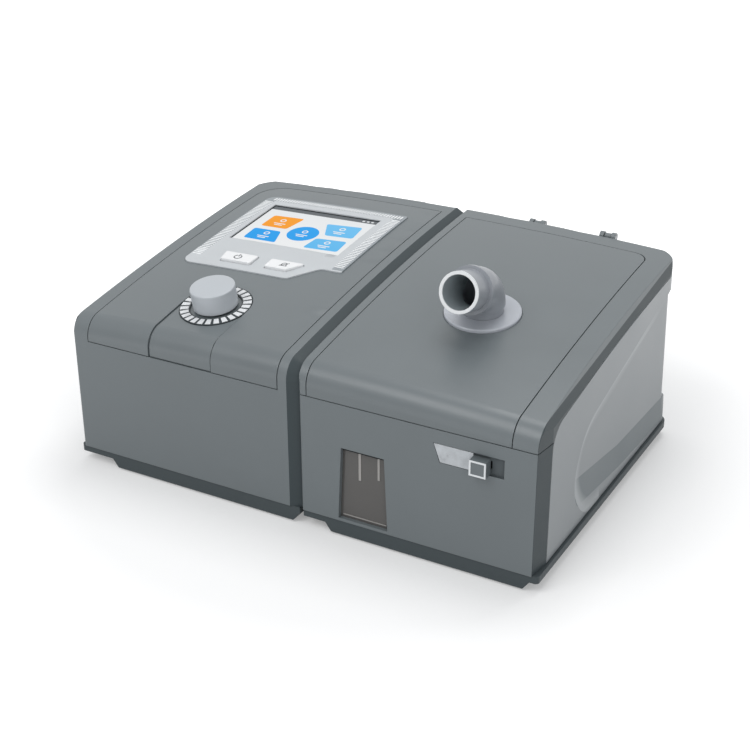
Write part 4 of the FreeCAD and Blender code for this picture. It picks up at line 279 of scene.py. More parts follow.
def metal(name, colour, roughness, stretch=(1.0, 1.0, 8.0), line=0.25):
    """Metal with fine tool lines; stretch sets the way they run."""
    material, tree = new_material(name)
    place = add_node(tree, "ShaderNodeTexCoord").outputs["Object"]
    turned = add_node(tree, "ShaderNodeMapping", None, {"Vector": place, "Scale": stretch})
    lines = add_node(tree, "ShaderNodeTexNoise", None,
                     {"Vector": turned.outputs[0], "Scale": grains(line), "Detail": 2.0})
    shade = add_node(tree, "ShaderNodeMix", COLOURS,
                     {FACTOR: lines.outputs["Fac"], FIRST: srgb(colour), SECOND: toned(colour, LINE_TONE)})
    rough = add_node(tree, "ShaderNodeMapRange", None,
                     {"Value": lines.outputs["Fac"], "To Min": roughness - LINE_SWING,
                      "To Max": roughness + LINE_SWING})
    bump = add_node(tree, "ShaderNodeBump", None,
                    {"Strength": 0.2, "Distance": 0.01 * MM, "Height": lines.outputs["Fac"]})
    shader = add_node(tree, "ShaderNodeBsdfPrincipled", None,
                      {"Base Color": shade.outputs[MIXED], "Metallic": 1.0, "Roughness": rough.outputs[0],
                       "Normal": bump.outputs[0]})
    add_node(tree, "ShaderNodeOutputMaterial", None, {"Surface": shader.outputs[0]})
    return material


def lit(name, top, foot, strength=1.0):
    """Lit screen colour: a soft fade down the tile and the faint grid of its dots."""
    material, tree = new_material(name)
    place = add_node(tree, "ShaderNodeTexCoord").outputs["Object"]
    axes = add_node(tree, "ShaderNodeSeparateXYZ", None, {0: place})
    front, rear = SCREEN_FADE
    fade = add_node(tree, "ShaderNodeMapRange", None,
                    {"Value": axes.outputs["Y"], "From Min": front * MM, "From Max": rear * MM})
    grid = add_node(tree, "ShaderNodeTexWave", {"bands_direction": "X"},
                    {"Vector": place, "Scale": grains(DOT_PITCH), "Distortion": 0.0})
    dim = add_node(tree, "ShaderNodeMapRange", None,
                   {"Value": grid.outputs["Fac"], "To Min": 0.97, "To Max": 1.0})
    shade = add_node(tree, "ShaderNodeMix", COLOURS,
                     {FACTOR: fade.outputs[0], FIRST: srgb(foot), SECOND: srgb(top)})
    glow = add_node(tree, "ShaderNodeMix", {**COLOURS, "blend_type": "MULTIPLY"},
                    {FACTOR: 1.0, FIRST: shade.outputs[MIXED], SECOND: dim.outputs[0]})
    shader = add_node(tree, "ShaderNodeBsdfPrincipled", None,
                      {"Base Color": (0.01, 0.01, 0.01, 1.0), "Roughness": 0.35, "Specular IOR Level": 0.03,
                       "Emission Color": glow.outputs[MIXED], "Emission Strength": strength})
    add_node(tree, "ShaderNodeOutputMaterial", None, {"Surface": shader.outputs[0]})
    return material


def porous(name, colour, cell, depth, roughness=0.9):
    """Foam or fleece: open cells that read as dark pits."""
    material, tree = new_material(name)
    place = add_node(tree, "ShaderNodeTexCoord").outputs["Object"]
    cells = add_node(tree, "ShaderNodeTexVoronoi", None, {"Vector": place, "Scale": grains(cell)})
    pits = add_node(tree, "ShaderNodeMapRange", None, {"Value": cells.outputs["Distance"], "From Max": 0.7})
    shade = add_node(tree, "ShaderNodeMix", COLOURS,
                     {FACTOR: pits.outputs[0], FIRST: toned(colour, PIT_TONE), SECOND: srgb(colour)})
    bump = add_node(tree, "ShaderNodeBump", None,
                    {"Strength": 0.8, "Distance": depth * MM, "Height": cells.outputs["Distance"]})
    shader = add_node(tree, "ShaderNodeBsdfPrincipled", None,
                      {"Base Color": shade.outputs[MIXED], "Roughness": roughness, "Normal": bump.outputs[0]})
    add_node(tree, "ShaderNodeOutputMaterial", None, {"Surface": shader.outputs[0]})
    return material


# ---------------------------------------------------------------- this machine's materials

GREY_HOUSING = "#6a7174"
GREY_SIDE = "#8b9093"
GREY_DARK = "#424a4d"
SILVER = "#c3c7ca"

RIGHT_BAND = (GREY_DARK, beyond, [("X", ABOVE, SIDE_BEVEL_X)])
LEFT_BAND = (GREY_DARK, beyond, [("X", BELOW, -SIDE_BEVEL_X)])
DOCK_BAND = (GREY_DARK, beyond, [("X", ABOVE, DOCK_BEVEL_X)])
# painted shade on the floor between the surround's ribs
RIB_FLOOR_PAINTED_SHADE = [("#9aa0a4", beyond, [limit, ("Y", ABOVE, RIB_START)]) for limit in RIB_LIMITS]
# painted shade: the latch's track is coloured darker than the housing round it
LATCH_TRACK_PAINTED_SHADE = ("#565c5f", beyond, TRACK_LIMITS)
# the recess of a side cover: a painted highlight along its upper edge, and painted shade on its lower slope
LEAF_SHEEN = ("#b2b6b8", leaf_glow)
LEAF_SLOPE_PAINTED_SHADE = ("#7b8285", facing, (0.0, 0.0, 1.0), SLOPE_RISE, SLOPE_LIMITS)
# painted light: the elbow's bore is coloured a little lighter than its outside to lift the shade inside it, and
# the lip of its mouth has a painted highlight, nearly white
BORE_PAINTED_LIGHT = ("#a2abaf", in_outlet, *ELBOW_BORE)
LIP_PAINTED_HIGHLIGHT = ("#eef0f1", in_outlet, *ELBOW_LIP)

# ABS moulded against a spark-eroded tool: satin mid grey, with a broad weak sheen where light grazes it
HOUSING = moulded("abs_housing_grey", GREY_HOUSING, 0.42, zones=(RIGHT_BAND, LATCH_TRACK_PAINTED_SHADE))
MAIN_HOUSING = moulded("abs_main_housing_grey", GREY_HOUSING, 0.42, zones=(DOCK_BAND, LEFT_BAND))
# the same ABS on the inset tops, polished a little more in the tool: a softer, longer sheen
TOP = moulded("abs_top_grey", GREY_HOUSING, 0.34)
LID_RIM = moulded("abs_lid_rim_grey", GREY_HOUSING, 0.34, zones=(RIGHT_BAND,))
# lighter ABS of the side covers, a little smoother than the housing; its recess carries a painted highlight and
# painted shade
SIDE = moulded("abs_side_light_grey", GREY_SIDE, 0.36, zones=(LEAF_SLOPE_PAINTED_SHADE, LEAF_SHEEN))
# dark ABS of the base, fine spark-eroded grain that kills most of the gloss
BASE = moulded("abs_base_dark_grey", GREY_DARK, 0.5, specular=0.3)
# polycarbonate blend of the flange and elbow: smooth, with a clear highlight on its edges
OUTLET = moulded("pc_flange_pale_grey", "#babec5", 0.3, spread=0.02, depth=0.004)
ELBOW = moulded("pc_elbow_grey", "#95999f", 0.3, spread=0.02, depth=0.004, zones=(BORE_PAINTED_LIGHT, LIP_PAINTED_HIGHLIGHT))
# knob: pale grey paint over plastic, faint orange-peel
KNOB = moulded("painted_knob_grey", "#b9bec3", 0.33, spread=0.02, grain=1.2, depth=0.01)
# display surround: silver paint, even, with very fine flake; the floor between its ribs is darker with painted
# shade
SURROUND = moulded("silver_paint_surround", SILVER, 0.36, spread=0.03, grain=0.5, depth=0.006,
                   zones=RIB_FLOOR_PAINTED_SHADE)
# the ribs: the same silver paint, whiter with a painted highlight
RIB_PAINTED_HIGHLIGHT = moulded("silver_paint_ribs_painted_highlight", "#f2f4f5", 0.34, spread=0.02, grain=0.5, depth=0.004, edge=0.1)
# key caps: white ABS with gloss lacquer, and signs printed on it in matt ink
KEY = moulded("lacquered_abs_keys", "#eeeff0", 0.25, spread=0.01, depth=0.002, edge=0.3)
SIGN = moulded("printed_key_signs", "#474d51", 0.5, spread=0.05, depth=0.002, edge=0.02)
# dial scale: white printed blocks on a dark satin ring
TICK = moulded("printed_dial_ticks", "#e4e6e8", 0.4, spread=0.02, depth=0.004, edge=0.1)
RING = moulded("abs_dial_ring", "#3a4043", 0.5, specular=0.3)
# black bonding foam round the display, matt
LINER = moulded("black_screen_gasket", "#15181a", 0.6, edge=0.1, specular=0.2)
# latch: silver paint with visible spray clouds on the plate, plain ABS block, white printed outline
LATCH_PLATE = moulded("silver_paint_latch", "#bbbfc3", 0.3, spread=0.14, cloud_size=5.0)
LATCH_BLOCK = moulded("abs_latch_mid_grey", "#666d70", 0.4)
LATCH_LINE = moulded("printed_latch_outline", "#e4e7e9", 0.4, spread=0.02, edge=0.1)
# inside mouldings
WHITE_INSIDE = moulded("natural_abs_inside", "#d9d8d2", 0.5)
BLACK_INSIDE = moulded("black_nylon_inside", "#1c1d1e", 0.5)
RUBBER = moulded("black_rubber_feet", "#1b1c1d", 0.8, spread=0.08, grain=0.8, depth=0.05)
SILICONE = moulded("silicone_seals", "#cfd0cb", 0.35, spread=0.02)
BOARD = moulded("solder_masked_board", "#14603a", 0.3, spread=0.12, grain=0.9, depth=0.02, edge=0.05)
LCD = moulded("black_display_module", "#0b0c0e", 0.3, edge=0.1)
# tank window and its pale marks, and the clear tank behind it
SMOKED = clear("smoked_polycarbonate_window", "#62605e", 0.1, 0.12)
PALE_WINDOW_MARK = moulded("pale_window_marks", "#a09d9a", 0.5, spread=0.03, depth=0.004, edge=0.1)
TANK = clear("clear_polycarbonate_tank", "#aab4b8", 0.12, 0.6)
# metals
ALUMINIUM = metal("milled_aluminium", "#a9acae", 0.35)
STEEL = metal("turned_steel", "#8d8f92", 0.28)
COPPER = metal("wound_copper", "#a8623a", 0.35, stretch=(1.0, 1.0, 6.0), line=0.5)
HEAT_SINK = metal("extruded_heat_sink", "#9a9c9f", 0.4)
# soft inside parts
FOAM = porous("open_cell_foam", "#4a4b4d", 1.6, 0.4)
FILTER = porous("filter_fleece", "#e4e4df", 0.7, 0.15)
# screen picture
SCREEN_WHITE = lit("lit_screen_white", "#e9ecee", "#f0f2f3", 0.95)
SCREEN_BAR = lit("lit_screen_bar", "#6d7276", "#6d7276", 0.9)
SCREEN_ORANGE = lit("lit_screen_orange", "#f7a026", "#f2961c")
SCREEN_BLUE = lit("lit_screen_blue", "#2aa4ee", "#149bea")
SCREEN_PALE = lit("lit_screen_pale_blue", "#74c2f0", "#58b5ec")

NODE_MATERIALS = {
    MAIN_HOUSING: ("main_shell",),
    HOUSING: ("humidifier_shell",),
    TOP: ("control_panel", "lid_panel"),
    LID_RIM: ("lid_frame",),
    SIDE: ("main_side_panel", "humidifier_side_panel"),
    BASE: ("main_base", "humidifier_base", "filter_cover"),
    OUTLET: ("outlet_flange",),
    ELBOW: ("outlet_elbow",),
    KNOB: ("dial_knob",),
    SURROUND: ("display_bezel",),
    KEY: ("power_button", "mute_button"),
    RING: ("dial_ring",),
    LATCH_PLATE: ("latch_plate",),
    LATCH_BLOCK: ("latch_slider",),
    WHITE_INSIDE: ("blower_lower_housing", "blower_upper_housing", "intake_duct", "outlet_duct",
                   "silencer_box", "tank_tray"),
    BLACK_INSIDE: ("card_socket", "encoder_body", "encoder_plunger", "heater_carrier", "impeller",
                   "memory_card", "power_inlet", "rotor_magnet", "tact_switches"),
    RUBBER: ("main_feet", "humidifier_feet"),
    SILICONE: ("blower_mounts", "inlet_seal", "lid_seal", "tank_seal"),
    BOARD: ("main_board", "display_board"),
    LCD: ("lcd_module",),
    SMOKED: ("window_pane",),
    TANK: ("water_tank", "tank_cover"),
    ALUMINIUM: ("heater_plate",),
    STEEL: ("encoder_shaft", "hinge_pins", "humidifier_screws", "main_screws", "motor_bearings",
            "motor_can", "motor_shaft", "tank_plate"),
    COPPER: ("motor_stator",),
    HEAT_SINK: ("board_components",),
    FOAM: ("silencer_foam",),
    FILTER: ("air_filter",),
}


def dress_nodes():
    """Gives each CAD node its material."""
    for material, names in NODE_MATERIALS.items():
        for name in names:
            for place in NODES[name].material_slots:
                place.material = material


# ---------------------------------------------------------------- making pieces

CORNER_STEPS = 4
ROUND_STEPS = 96
WELD = 1e-4                         # joins points that meet on the axis of a round piece
SHARP_ANGLE = math.radians(35)      # edges at least this sharp stay sharp in smooth shading
RAY_START = 0.3                     # metres, above the whole machine


def rectangle(left, right, front, rear):
    """Corners of a rectangle on the plan."""
    return [(left, front), (right, front), (right, rear), (left, rear)]


def thicken(mesh, faces, thick):
    """Lifts a copy of flat faces and closes the sides."""
    lifted = bmesh.ops.extrude_face_region(mesh, geom=faces)["geom"]
    bmesh.ops.translate(mesh, verts=[v for v in lifted if isinstance(v, bmesh.types.BMVert)], vec=(0, 0, thick))


def plate(outline, thick, corner=0.0, low=0.0):
    """Flat plate over an outline, with its upright edges rounded."""
    mesh = bmesh.new()
    face = mesh.faces.new([mesh.verts.new((x, y, low)) for x, y in outline])
    thicken(mesh, [face], thick)
    if corner:
        uprights = [e for e in mesh.edges if abs(e.verts[0].co.z - e.verts[1].co.z) > thick / 2]
        bmesh.ops.bevel(mesh, geom=uprights, offset=corner, offset_type="OFFSET", segments=CORNER_STEPS,
                        profile=0.5, affect="EDGES", material=-1)
    bmesh.ops.recalc_face_normals(mesh, faces=mesh.faces)
    return mesh


def block(size, place, turn=0.0):
    """Small box about a place, turned about its upright."""
    mesh = bmesh.new()
    bmesh.ops.create_cube(mesh, size=1.0)
    bmesh.ops.scale(mesh, verts=mesh.verts, vec=size)
    bmesh.ops.rotate(mesh, verts=mesh.verts, cent=(0, 0, 0), matrix=Matrix.Rotation(turn, 3, "Z"))
    bmesh.ops.translate(mesh, verts=mesh.verts, vec=place)
    return mesh


def arc_strip(radii, start, sweep, thick, low, centre=(0.0, 0.0), steps=24):
    """Flat ring, or part of one, about a centre."""
    mesh = bmesh.new()
    ends = [mesh.verts.new((r, 0, low)) for r in radii]
    edge = mesh.edges.new(ends)
    bmesh.ops.rotate(mesh, verts=mesh.verts, cent=(0, 0, 0), matrix=Matrix.Rotation(start, 3, "Z"))
    bmesh.ops.spin(mesh, geom=[edge, *ends], cent=(0, 0, 0), axis=(0, 0, 1), angle=sweep, steps=steps,
                   use_merge=sweep == FULL_TURN)
    thicken(mesh, list(mesh.faces), thick)
    bmesh.ops.translate(mesh, verts=mesh.verts, vec=(*centre, 0))
    bmesh.ops.recalc_face_normals(mesh, faces=mesh.faces)
    return mesh


def lathe(profile):
    """Closed round piece from (radius, height) points."""
    mesh = bmesh.new()
    ring = [mesh.verts.new((r, 0, z)) for r, z in profile]
    edges = [mesh.edges.new(pair) for pair in zip(ring, ring[1:])]
    bmesh.ops.spin(mesh, geom=ring + edges, cent=(0, 0, 0), axis=(0, 0, 1), angle=FULL_TURN,
                   steps=ROUND_STEPS, use_merge=True)
    bmesh.ops.remove_doubles(mesh, verts=mesh.verts, dist=WELD)
    bmesh.ops.recalc_face_normals(mesh, faces=mesh.faces)
    return mesh


def joined(meshes):
    """One bmesh out of several."""
    whole = bmesh.new()
    for mesh in meshes:
        step = bpy.data.meshes.new("step")
        mesh.to_mesh(step)
        mesh.free()
        whole.from_mesh(step)
        bpy.data.meshes.remove(step)
    return whole


def piece(name, mesh, frame_matrix, material, body, smooth=False):
    """Turns a bmesh into a finished piece that rides on a body."""
    bmesh.ops.transform(mesh, matrix=frame_matrix, verts=mesh.verts)
    data = bpy.data.meshes.new(name)
    mesh.to_mesh(data)
    mesh.free()
    if smooth:
        data.shade_smooth()
        data.set_sharp_from_angle(angle=SHARP_ANGLE)
    data.materials.append(material)
    item = bpy.data.objects.new(name, data)
    bpy.context.scene.collection.objects.link(item)
    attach(item, body)
    return item


def skin(name):
    """The outside of a CAD node, for setting pieces on it."""
    node = NODES[name]
    return BVHTree.FromPolygons([v.co for v in node.data.vertices], [p.vertices for p in node.data.polygons])


def height_on(tree, x, y):
    """Height in millimetres of a node's top at a place on the plan."""
    hit = tree.ray_cast(Vector((x * MM, y * MM, RAY_START)), Vector((0, 0, -1)))[0]
    return hit.z / MM if hit else None


# ---------------------------------------------------------------- display

SCREEN_WIDE = 75.0
SCREEN_DEEP = 51.4
LENS_LOW = -2.8
LENS_TOP = -0.8
COVER_GAP = 0.1         # between the cover and the surround
GROUND_GAP = 0.3        # from the cover's edge to the lit picture
GROUND_THICK = 0.04
TILE_THICK = 0.05
MARK_THICK = 0.04
PICTURE_SINK = 0.2      # of the lit picture under the window's top
PICTURE_Z = LENS_TOP - PICTURE_SINK
TILE_Z = PICTURE_Z + GROUND_THICK
MARK_Z = TILE_Z + TILE_THICK

TILES = {
    "screen_tile_orange": (SCREEN_ORANGE, [[(-30.4, -2.4), (-12.4, -2.2), (-9.2, 14.0), (-30.0, 13.0)]]),
    "screen_tiles_blue": (SCREEN_BLUE, [[(-31.2, -20.6), (-8.8, -20.8), (-13.4, -6.4), (-31.8, -6.6)]]),
    "screen_tiles_pale": (SCREEN_PALE, [[(14.6, -2.2), (32.8, -1.0), (31.2, 14.4), (7.8, 12.4)],
                                        [(10.8, -21.0), (33.2, -20.0), (32.2, -6.2), (12.2, -7.6)]]),
}
TILE_CORNER = 1.6
MIDDLE_TILE = (1.0, -4.7)           # the round blue one
MIDDLE_RADII = (0.01, 9.8)          # a disc, with a hair-fine hole
MIDDLE_STEPS = 48

# the plain sign on each tile: a small ring over two lines
TILE_SIGNS = [(-20.5, 5.2), (-20.5, -13.6), (20.8, 5.8), (21.8, -13.8), MIDDLE_TILE]
SIGN_RADII = (1.2, 2.0)
SIGN_RISE = 2.6
SIGN_STEPS = 20
LINE_WIDTHS = (8.0, 5.4)
LINE_HIGH = 0.9
LINE_DROP = 1.8
LINE_PITCH = 1.9

BAR_DEEP = 4.2
STATUS_X = (27.0, 30.0, 33.0)       # three dots at the right end of the bar
STATUS_SIZE = (1.6, 1.4)


def screen_piece(name, mesh, material):
    """Piece of the display, which rides on the main unit."""
    return piece(name, mesh, ON_SCREEN, material, "main_unit")


def screen_picture():
    """Five plain tiles on a white ground with a grey bar: a screen that is on, with no words."""
    half_w, half_d = SCREEN_WIDE / 2 - COVER_GAP, SCREEN_DEEP / 2 - COVER_GAP
    cover = block((2 * half_w, 2 * half_d, PICTURE_Z - LENS_LOW), (0, 0, (PICTURE_Z + LENS_LOW) / 2))
    cover = screen_piece("screen_cover", cover, LCD)
    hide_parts("display_window")
    half_w, half_d = half_w - GROUND_GAP, half_d - GROUND_GAP
    ground = plate(rectangle(-half_w, half_w, -half_d, half_d), GROUND_THICK, low=PICTURE_Z)
    screen_piece("screen_ground", ground, SCREEN_WHITE)
    bar = plate(rectangle(-half_w, half_w, half_d - BAR_DEEP, half_d), TILE_THICK, low=TILE_Z)
    screen_piece("screen_bar", bar, SCREEN_BAR)
    for name, (material, outlines) in TILES.items():
        tiles = [plate(outline, TILE_THICK, TILE_CORNER, TILE_Z) for outline in outlines]
        if material is SCREEN_BLUE:
            tiles.append(arc_strip(MIDDLE_RADII, 0, FULL_TURN, TILE_THICK, TILE_Z, MIDDLE_TILE, MIDDLE_STEPS))
        screen_piece(name, joined(tiles), material)
    middle = MARK_Z + MARK_THICK / 2
    marks = []
    for x, y in TILE_SIGNS:
        marks.append(arc_strip(SIGN_RADII, 0, FULL_TURN, MARK_THICK, MARK_Z, (x, y + SIGN_RISE), SIGN_STEPS))
        for step, wide in enumerate(LINE_WIDTHS):
            marks.append(block((wide, LINE_HIGH, MARK_THICK), (x, y - LINE_DROP - step * LINE_PITCH, middle)))
    for x in STATUS_X:
        marks.append(block((*STATUS_SIZE, MARK_THICK), (x, half_d - BAR_DEEP / 2, middle)))
    screen_piece("screen_marks", joined(marks), SCREEN_WHITE)


def screen_gasket():
    """Thin black rim between the silver surround and the display cover."""
    half_w, half_d = SCREEN_WIDE / 2, SCREEN_DEEP / 2
    rim, high = 0.35, 0.5
    middle = PICTURE_Z + high / 2
    bars = [block((2 * half_w, rim, high), (0, side * (half_d - rim / 2), middle)) for side in (-1, 1)]
    bars += [block((rim, 2 * half_d - 2 * rim, high), (side * (half_w - rim / 2), 0, middle))
             for side in (-1, 1)]
    screen_piece("screen_gasket", joined(bars), LINER)


RIB_PITCH = 1.9
RIB_WIDE = 1.0
RIB_LONG = 5.8          # at the left and right edges
RIB_SHORT = 4.2         # at the rear edge
RIB_HIGH = 0.35
RIB_SINK = 0.1          # into the surround
RIB_FIELD = (-116.6, -21.0, -6.0, 68.6)     # left, right, front and rear ends of the ribs
LEFT_EXTRA = 10.0       # the left row starts this much further to the front
CORNER_GAP = 5.0        # free of ribs at the rounded rear corners
RIGHT_GAP = 1.0


def surround_ribs():
    """Fine ribs round the left, rear and right edges of the silver surround, whitened with a painted highlight.
    """
    tree = skin("display_bezel")
    left, right, front, rear = RIB_FIELD
    ribs = []

    def rib(x, y, size):
        ends = [height_on(tree, x + side * size[0] / 2, y + side * size[1] / 2) for side in (-1, 1)]
        if None not in ends:
            ribs.append(block(size, (x, y, sum(ends) / 2 + RIB_HIGH / 2 - RIB_SINK)))

    y = front - LEFT_EXTRA
    while y < rear - CORNER_GAP:
        rib(left + RIB_LONG / 2, y, (RIB_LONG, RIB_WIDE, RIB_HIGH))
        if y > front:
            rib(right - RIB_LONG / 2, y, (RIB_LONG, RIB_WIDE, RIB_HIGH))
        y += RIB_PITCH
    x = left + CORNER_GAP
    while x < right - RIGHT_GAP:
        rib(x, rear - RIB_SHORT / 2, (RIB_WIDE, RIB_SHORT, RIB_HIGH))
        x += RIB_PITCH
    piece("surround_ribs", joined(ribs), FLAT, RIB_PAINTED_HIGHLIGHT, "main_unit")


# ---------------------------------------------------------------- keys and dial

KEY_Y = -48.4
POWER_X = -16.0
MUTE_X = 15.4
SIGN_THICK = 0.08

POWER_RADII = (1.9, 2.55)
POWER_START = math.radians(120)     # the ring is open at its rear, round the bar
POWER_SWEEP = math.radians(300)
POWER_BAR = (0.65, 2.8)
POWER_BAR_Y = 1.9                   # from the middle of the key, as all places on it

BELL_RADII = (1.3, 1.8)
BELL_Y = 0.6
BELL_STEPS = 12
BELL_SIDE = (0.5, 1.6)
BELL_SIDE_X = 1.55
BELL_SIDE_Y = -0.2
BELL_FOOT = (4.6, 0.5)
BELL_FOOT_Y = -1.2
CROSS = (0.45, 6.4)
CROSS_Y = 0.3
CROSS_TURN = math.radians(-50)


def key_top(name):
    """Height of a key's flat top in the screen's frame."""
    seen = [ON_SCREEN.inverted() @ v.co for v in NODES[name].data.vertices]
    return max(v.z for v in seen)


def sign_bar(size, x, y, low, turn=0.0):
    """Straight part of a sign printed on a key."""
    return block((*size, SIGN_THICK), (x, y, low + SIGN_THICK / 2), turn)


def key_signs():
    """Ring and bar on the left key, crossed bell on the right one."""
    low = key_top("power_button")
    ring = arc_strip(POWER_RADII, POWER_START, POWER_SWEEP, SIGN_THICK, low, (POWER_X, KEY_Y))
    bar = sign_bar(POWER_BAR, POWER_X, KEY_Y + POWER_BAR_Y, low)
    piece("power_sign", joined([ring, bar]), ON_SCREEN, SIGN, "power_key")
    low = key_top("mute_button")
    dome = arc_strip(BELL_RADII, 0, math.pi, SIGN_THICK, low, (MUTE_X, KEY_Y + BELL_Y), BELL_STEPS)
    sides = [sign_bar(BELL_SIDE, MUTE_X + side * BELL_SIDE_X, KEY_Y + BELL_SIDE_Y, low) for side in (-1, 1)]
    foot = sign_bar(BELL_FOOT, MUTE_X, KEY_Y + BELL_FOOT_Y, low)
    cross = sign_bar(CROSS, MUTE_X, KEY_Y + CROSS_Y, low, CROSS_TURN)
    piece("mute_sign", joined([dome, *sides, foot, cross]), ON_SCREEN, SIGN, "mute_key")


TICKS = 26
TICK_INNER = 15.1
TICK_OUTER = 19.8
TICK_WIDE = 3.1
TICK_TAPER = 0.8        # width at the inner end, as a share of that at the outer one
TICK_THICK = 0.25
RING_TOP = -0.2


def tick_marks():
    """White blocks on the dark ring, each a little wider outside."""
    wide = TICK_WIDE / 2
    narrow = wide * TICK_TAPER
    outline = [(TICK_INNER, -narrow), (TICK_OUTER, -wide), (TICK_OUTER, wide), (TICK_INNER, narrow)]
    ticks = []
    for step in range(TICKS):
        tick = plate(outline, TICK_THICK, low=RING_TOP)
        bmesh.ops.rotate(tick, verts=tick.verts, cent=(0, 0, 0),
                         matrix=Matrix.Rotation(FULL_TURN * step / TICKS, 3, "Z"))
        ticks.append(tick)
    piece("dial_ticks", joined(ticks), ON_DIAL, TICK, "main_unit")


KNOB_RADIUS = 12.5
KNOB_LOW = 0.2
KNOB_TOP = 12.0
KNOB_WALL = 2.0
KNOB_EDGE = 0.8
KNOB_EDGE_STEPS = 5
KNOB_FOOT_EDGE = 0.3
HUB_RADIUS = 5.2
SHAFT_RADIUS = 3.02


def knob():
    """Plain cap with a rounded top edge, hollow below, on its hub."""
    angles = [math.radians(90 / KNOB_EDGE_STEPS * step) for step in range(KNOB_EDGE_STEPS + 1)]
    round_edge = [(KNOB_RADIUS - KNOB_EDGE * (1 - math.cos(a)), KNOB_TOP - KNOB_EDGE * (1 - math.sin(a)))
                  for a in angles]
    roof = KNOB_TOP - KNOB_WALL
    skirt = KNOB_RADIUS - KNOB_WALL
    profile = [(SHAFT_RADIUS, roof), (SHAFT_RADIUS, KNOB_WALL), (HUB_RADIUS, KNOB_WALL), (HUB_RADIUS, roof),
               (skirt, roof), (skirt, KNOB_LOW), (KNOB_RADIUS - KNOB_FOOT_EDGE, KNOB_LOW),
               (KNOB_RADIUS, KNOB_LOW + KNOB_FOOT_EDGE), *round_edge, (0.0, KNOB_TOP)]
    cap = lathe(profile)
    inner = bmesh.new()
    bmesh.ops.create_circle(inner, cap_ends=True, segments=ROUND_STEPS, radius=SHAFT_RADIUS,
                            matrix=Matrix.Translation((0, 0, roof)))
    made = piece("knob_cap", joined([cap, inner]), ON_DIAL, KNOB, "dial", smooth=True)
    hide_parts("dial_knob")


# ---------------------------------------------------------------- latch and window

LATCH_FRONT_Y = -103.5
THUMB = (105.9, 114.9, 60.6, 69.0)      # left, right, low and top of the outline


def latch_outline():
    """Raised white line round the front of the latch block."""
    x0, x1, z0, z1 = THUMB
    line, thick = 0.95, 0.2
    y = LATCH_FRONT_Y - thick / 2
    mid_x, mid_z = (x0 + x1) / 2, (z0 + z1) / 2
    bars = [block((x1 - x0, thick, line), (mid_x, y, z)) for z in (z0 + line / 2, z1 - line / 2)]
    bars += [block((line, thick, z1 - z0 - 2 * line), (x, y, mid_z)) for x in (x0 + line / 2, x1 - line / 2)]
    piece("latch_outline", joined(bars), FLAT, LATCH_LINE, "latch")


WINDOW_MIDDLE = 44.3
WINDOW_FACE_Y = -96.5
PALE_MARK_DEEP = 0.3
# width and height, then place: two pale upright bars, and below them a pale line that is a painted highlight
PALE_MARK_PLACES = (((1.4, 17.0), (41.6, 44.5)), ((1.2, 13.0), (52.6, 45.5)), ((25.5, 0.5), (WINDOW_MIDDLE, 13.4)))
TOP_SEAL = (24.6, 1.2, 1.2)
TOP_SEAL_Z = 52.8


def window_details():
    """Two pale upright bars and a painted highlight line on the window, and the dark seal along its top."""
    y = WINDOW_FACE_Y - PALE_MARK_DEEP / 2
    bars = [block((wide, PALE_MARK_DEEP, high), (x, y, z)) for (wide, high), (x, z) in PALE_MARK_PLACES]
    piece("pale_window_mark_pieces", joined(bars), FLAT, PALE_WINDOW_MARK, "humidifier")
    seal = block(TOP_SEAL, (WINDOW_MIDDLE, WINDOW_FACE_Y - TOP_SEAL[1] / 2, TOP_SEAL_Z))
    piece("window_top_seal", seal, FLAT, LINER, "humidifier")


# ---------------------------------------------------------------- floor, lights and camera, in metres

WHITE = (1.0, 1.0, 1.0, 1.0)

FLOOR_HALF = 4.0
FLOOR_CLOUDS = 3.0
FLOOR_TONES = ("#e2e2e2", "#e0e0e0")
FLOOR_FADE = (0.18, 0.52)       # distances from the middle between which the floor turns white
FLOOR_GLOW = (0.26, 1.0)        # light that it adds at those distances

FILL_TINT = (0.96, 0.98, 1.0, 1.0)
FILL_STRENGTH = 0.5

# place, side and power in watts
SOFTBOXES = {
    "rear_softbox": ((0.05, 0.3, 1.2), 0.6, 4.2),
    "front_softbox": ((-0.25, -0.85, 1.05), 0.7, 5.2),
    "right_softbox": ((1.0, -0.9, 0.6), 0.6, 2.5),
}
LIGHT_TARGET = (0.0, 0.0, 0.05)

CAMERA_PLACE = (0.356394, -0.643232, 0.401301)
CAMERA_TURNS = (29.228, 25.818, -0.151)     # heading, pitch down and roll, in degrees
FOCAL_LENGTH = 68.017                       # millimetres, as the sensor's width
SENSOR_WIDTH = 36.0


def white_to_the_eye(tree, seen, other):
    """Shader that camera, mirror and glass rays see one way, and light the other."""
    path = add_node(tree, "ShaderNodeLightPath")
    first = add_node(tree, "ShaderNodeMath", {"operation": "MAXIMUM"},
                     {0: path.outputs["Is Camera Ray"], 1: path.outputs["Is Glossy Ray"]})
    rays = add_node(tree, "ShaderNodeMath", {"operation": "MAXIMUM"},
                    {0: first.outputs[0], 1: path.outputs["Is Transmission Ray"]})
    return add_node(tree, "ShaderNodeMixShader", None, {0: rays.outputs[0], 1: other, 2: seen})


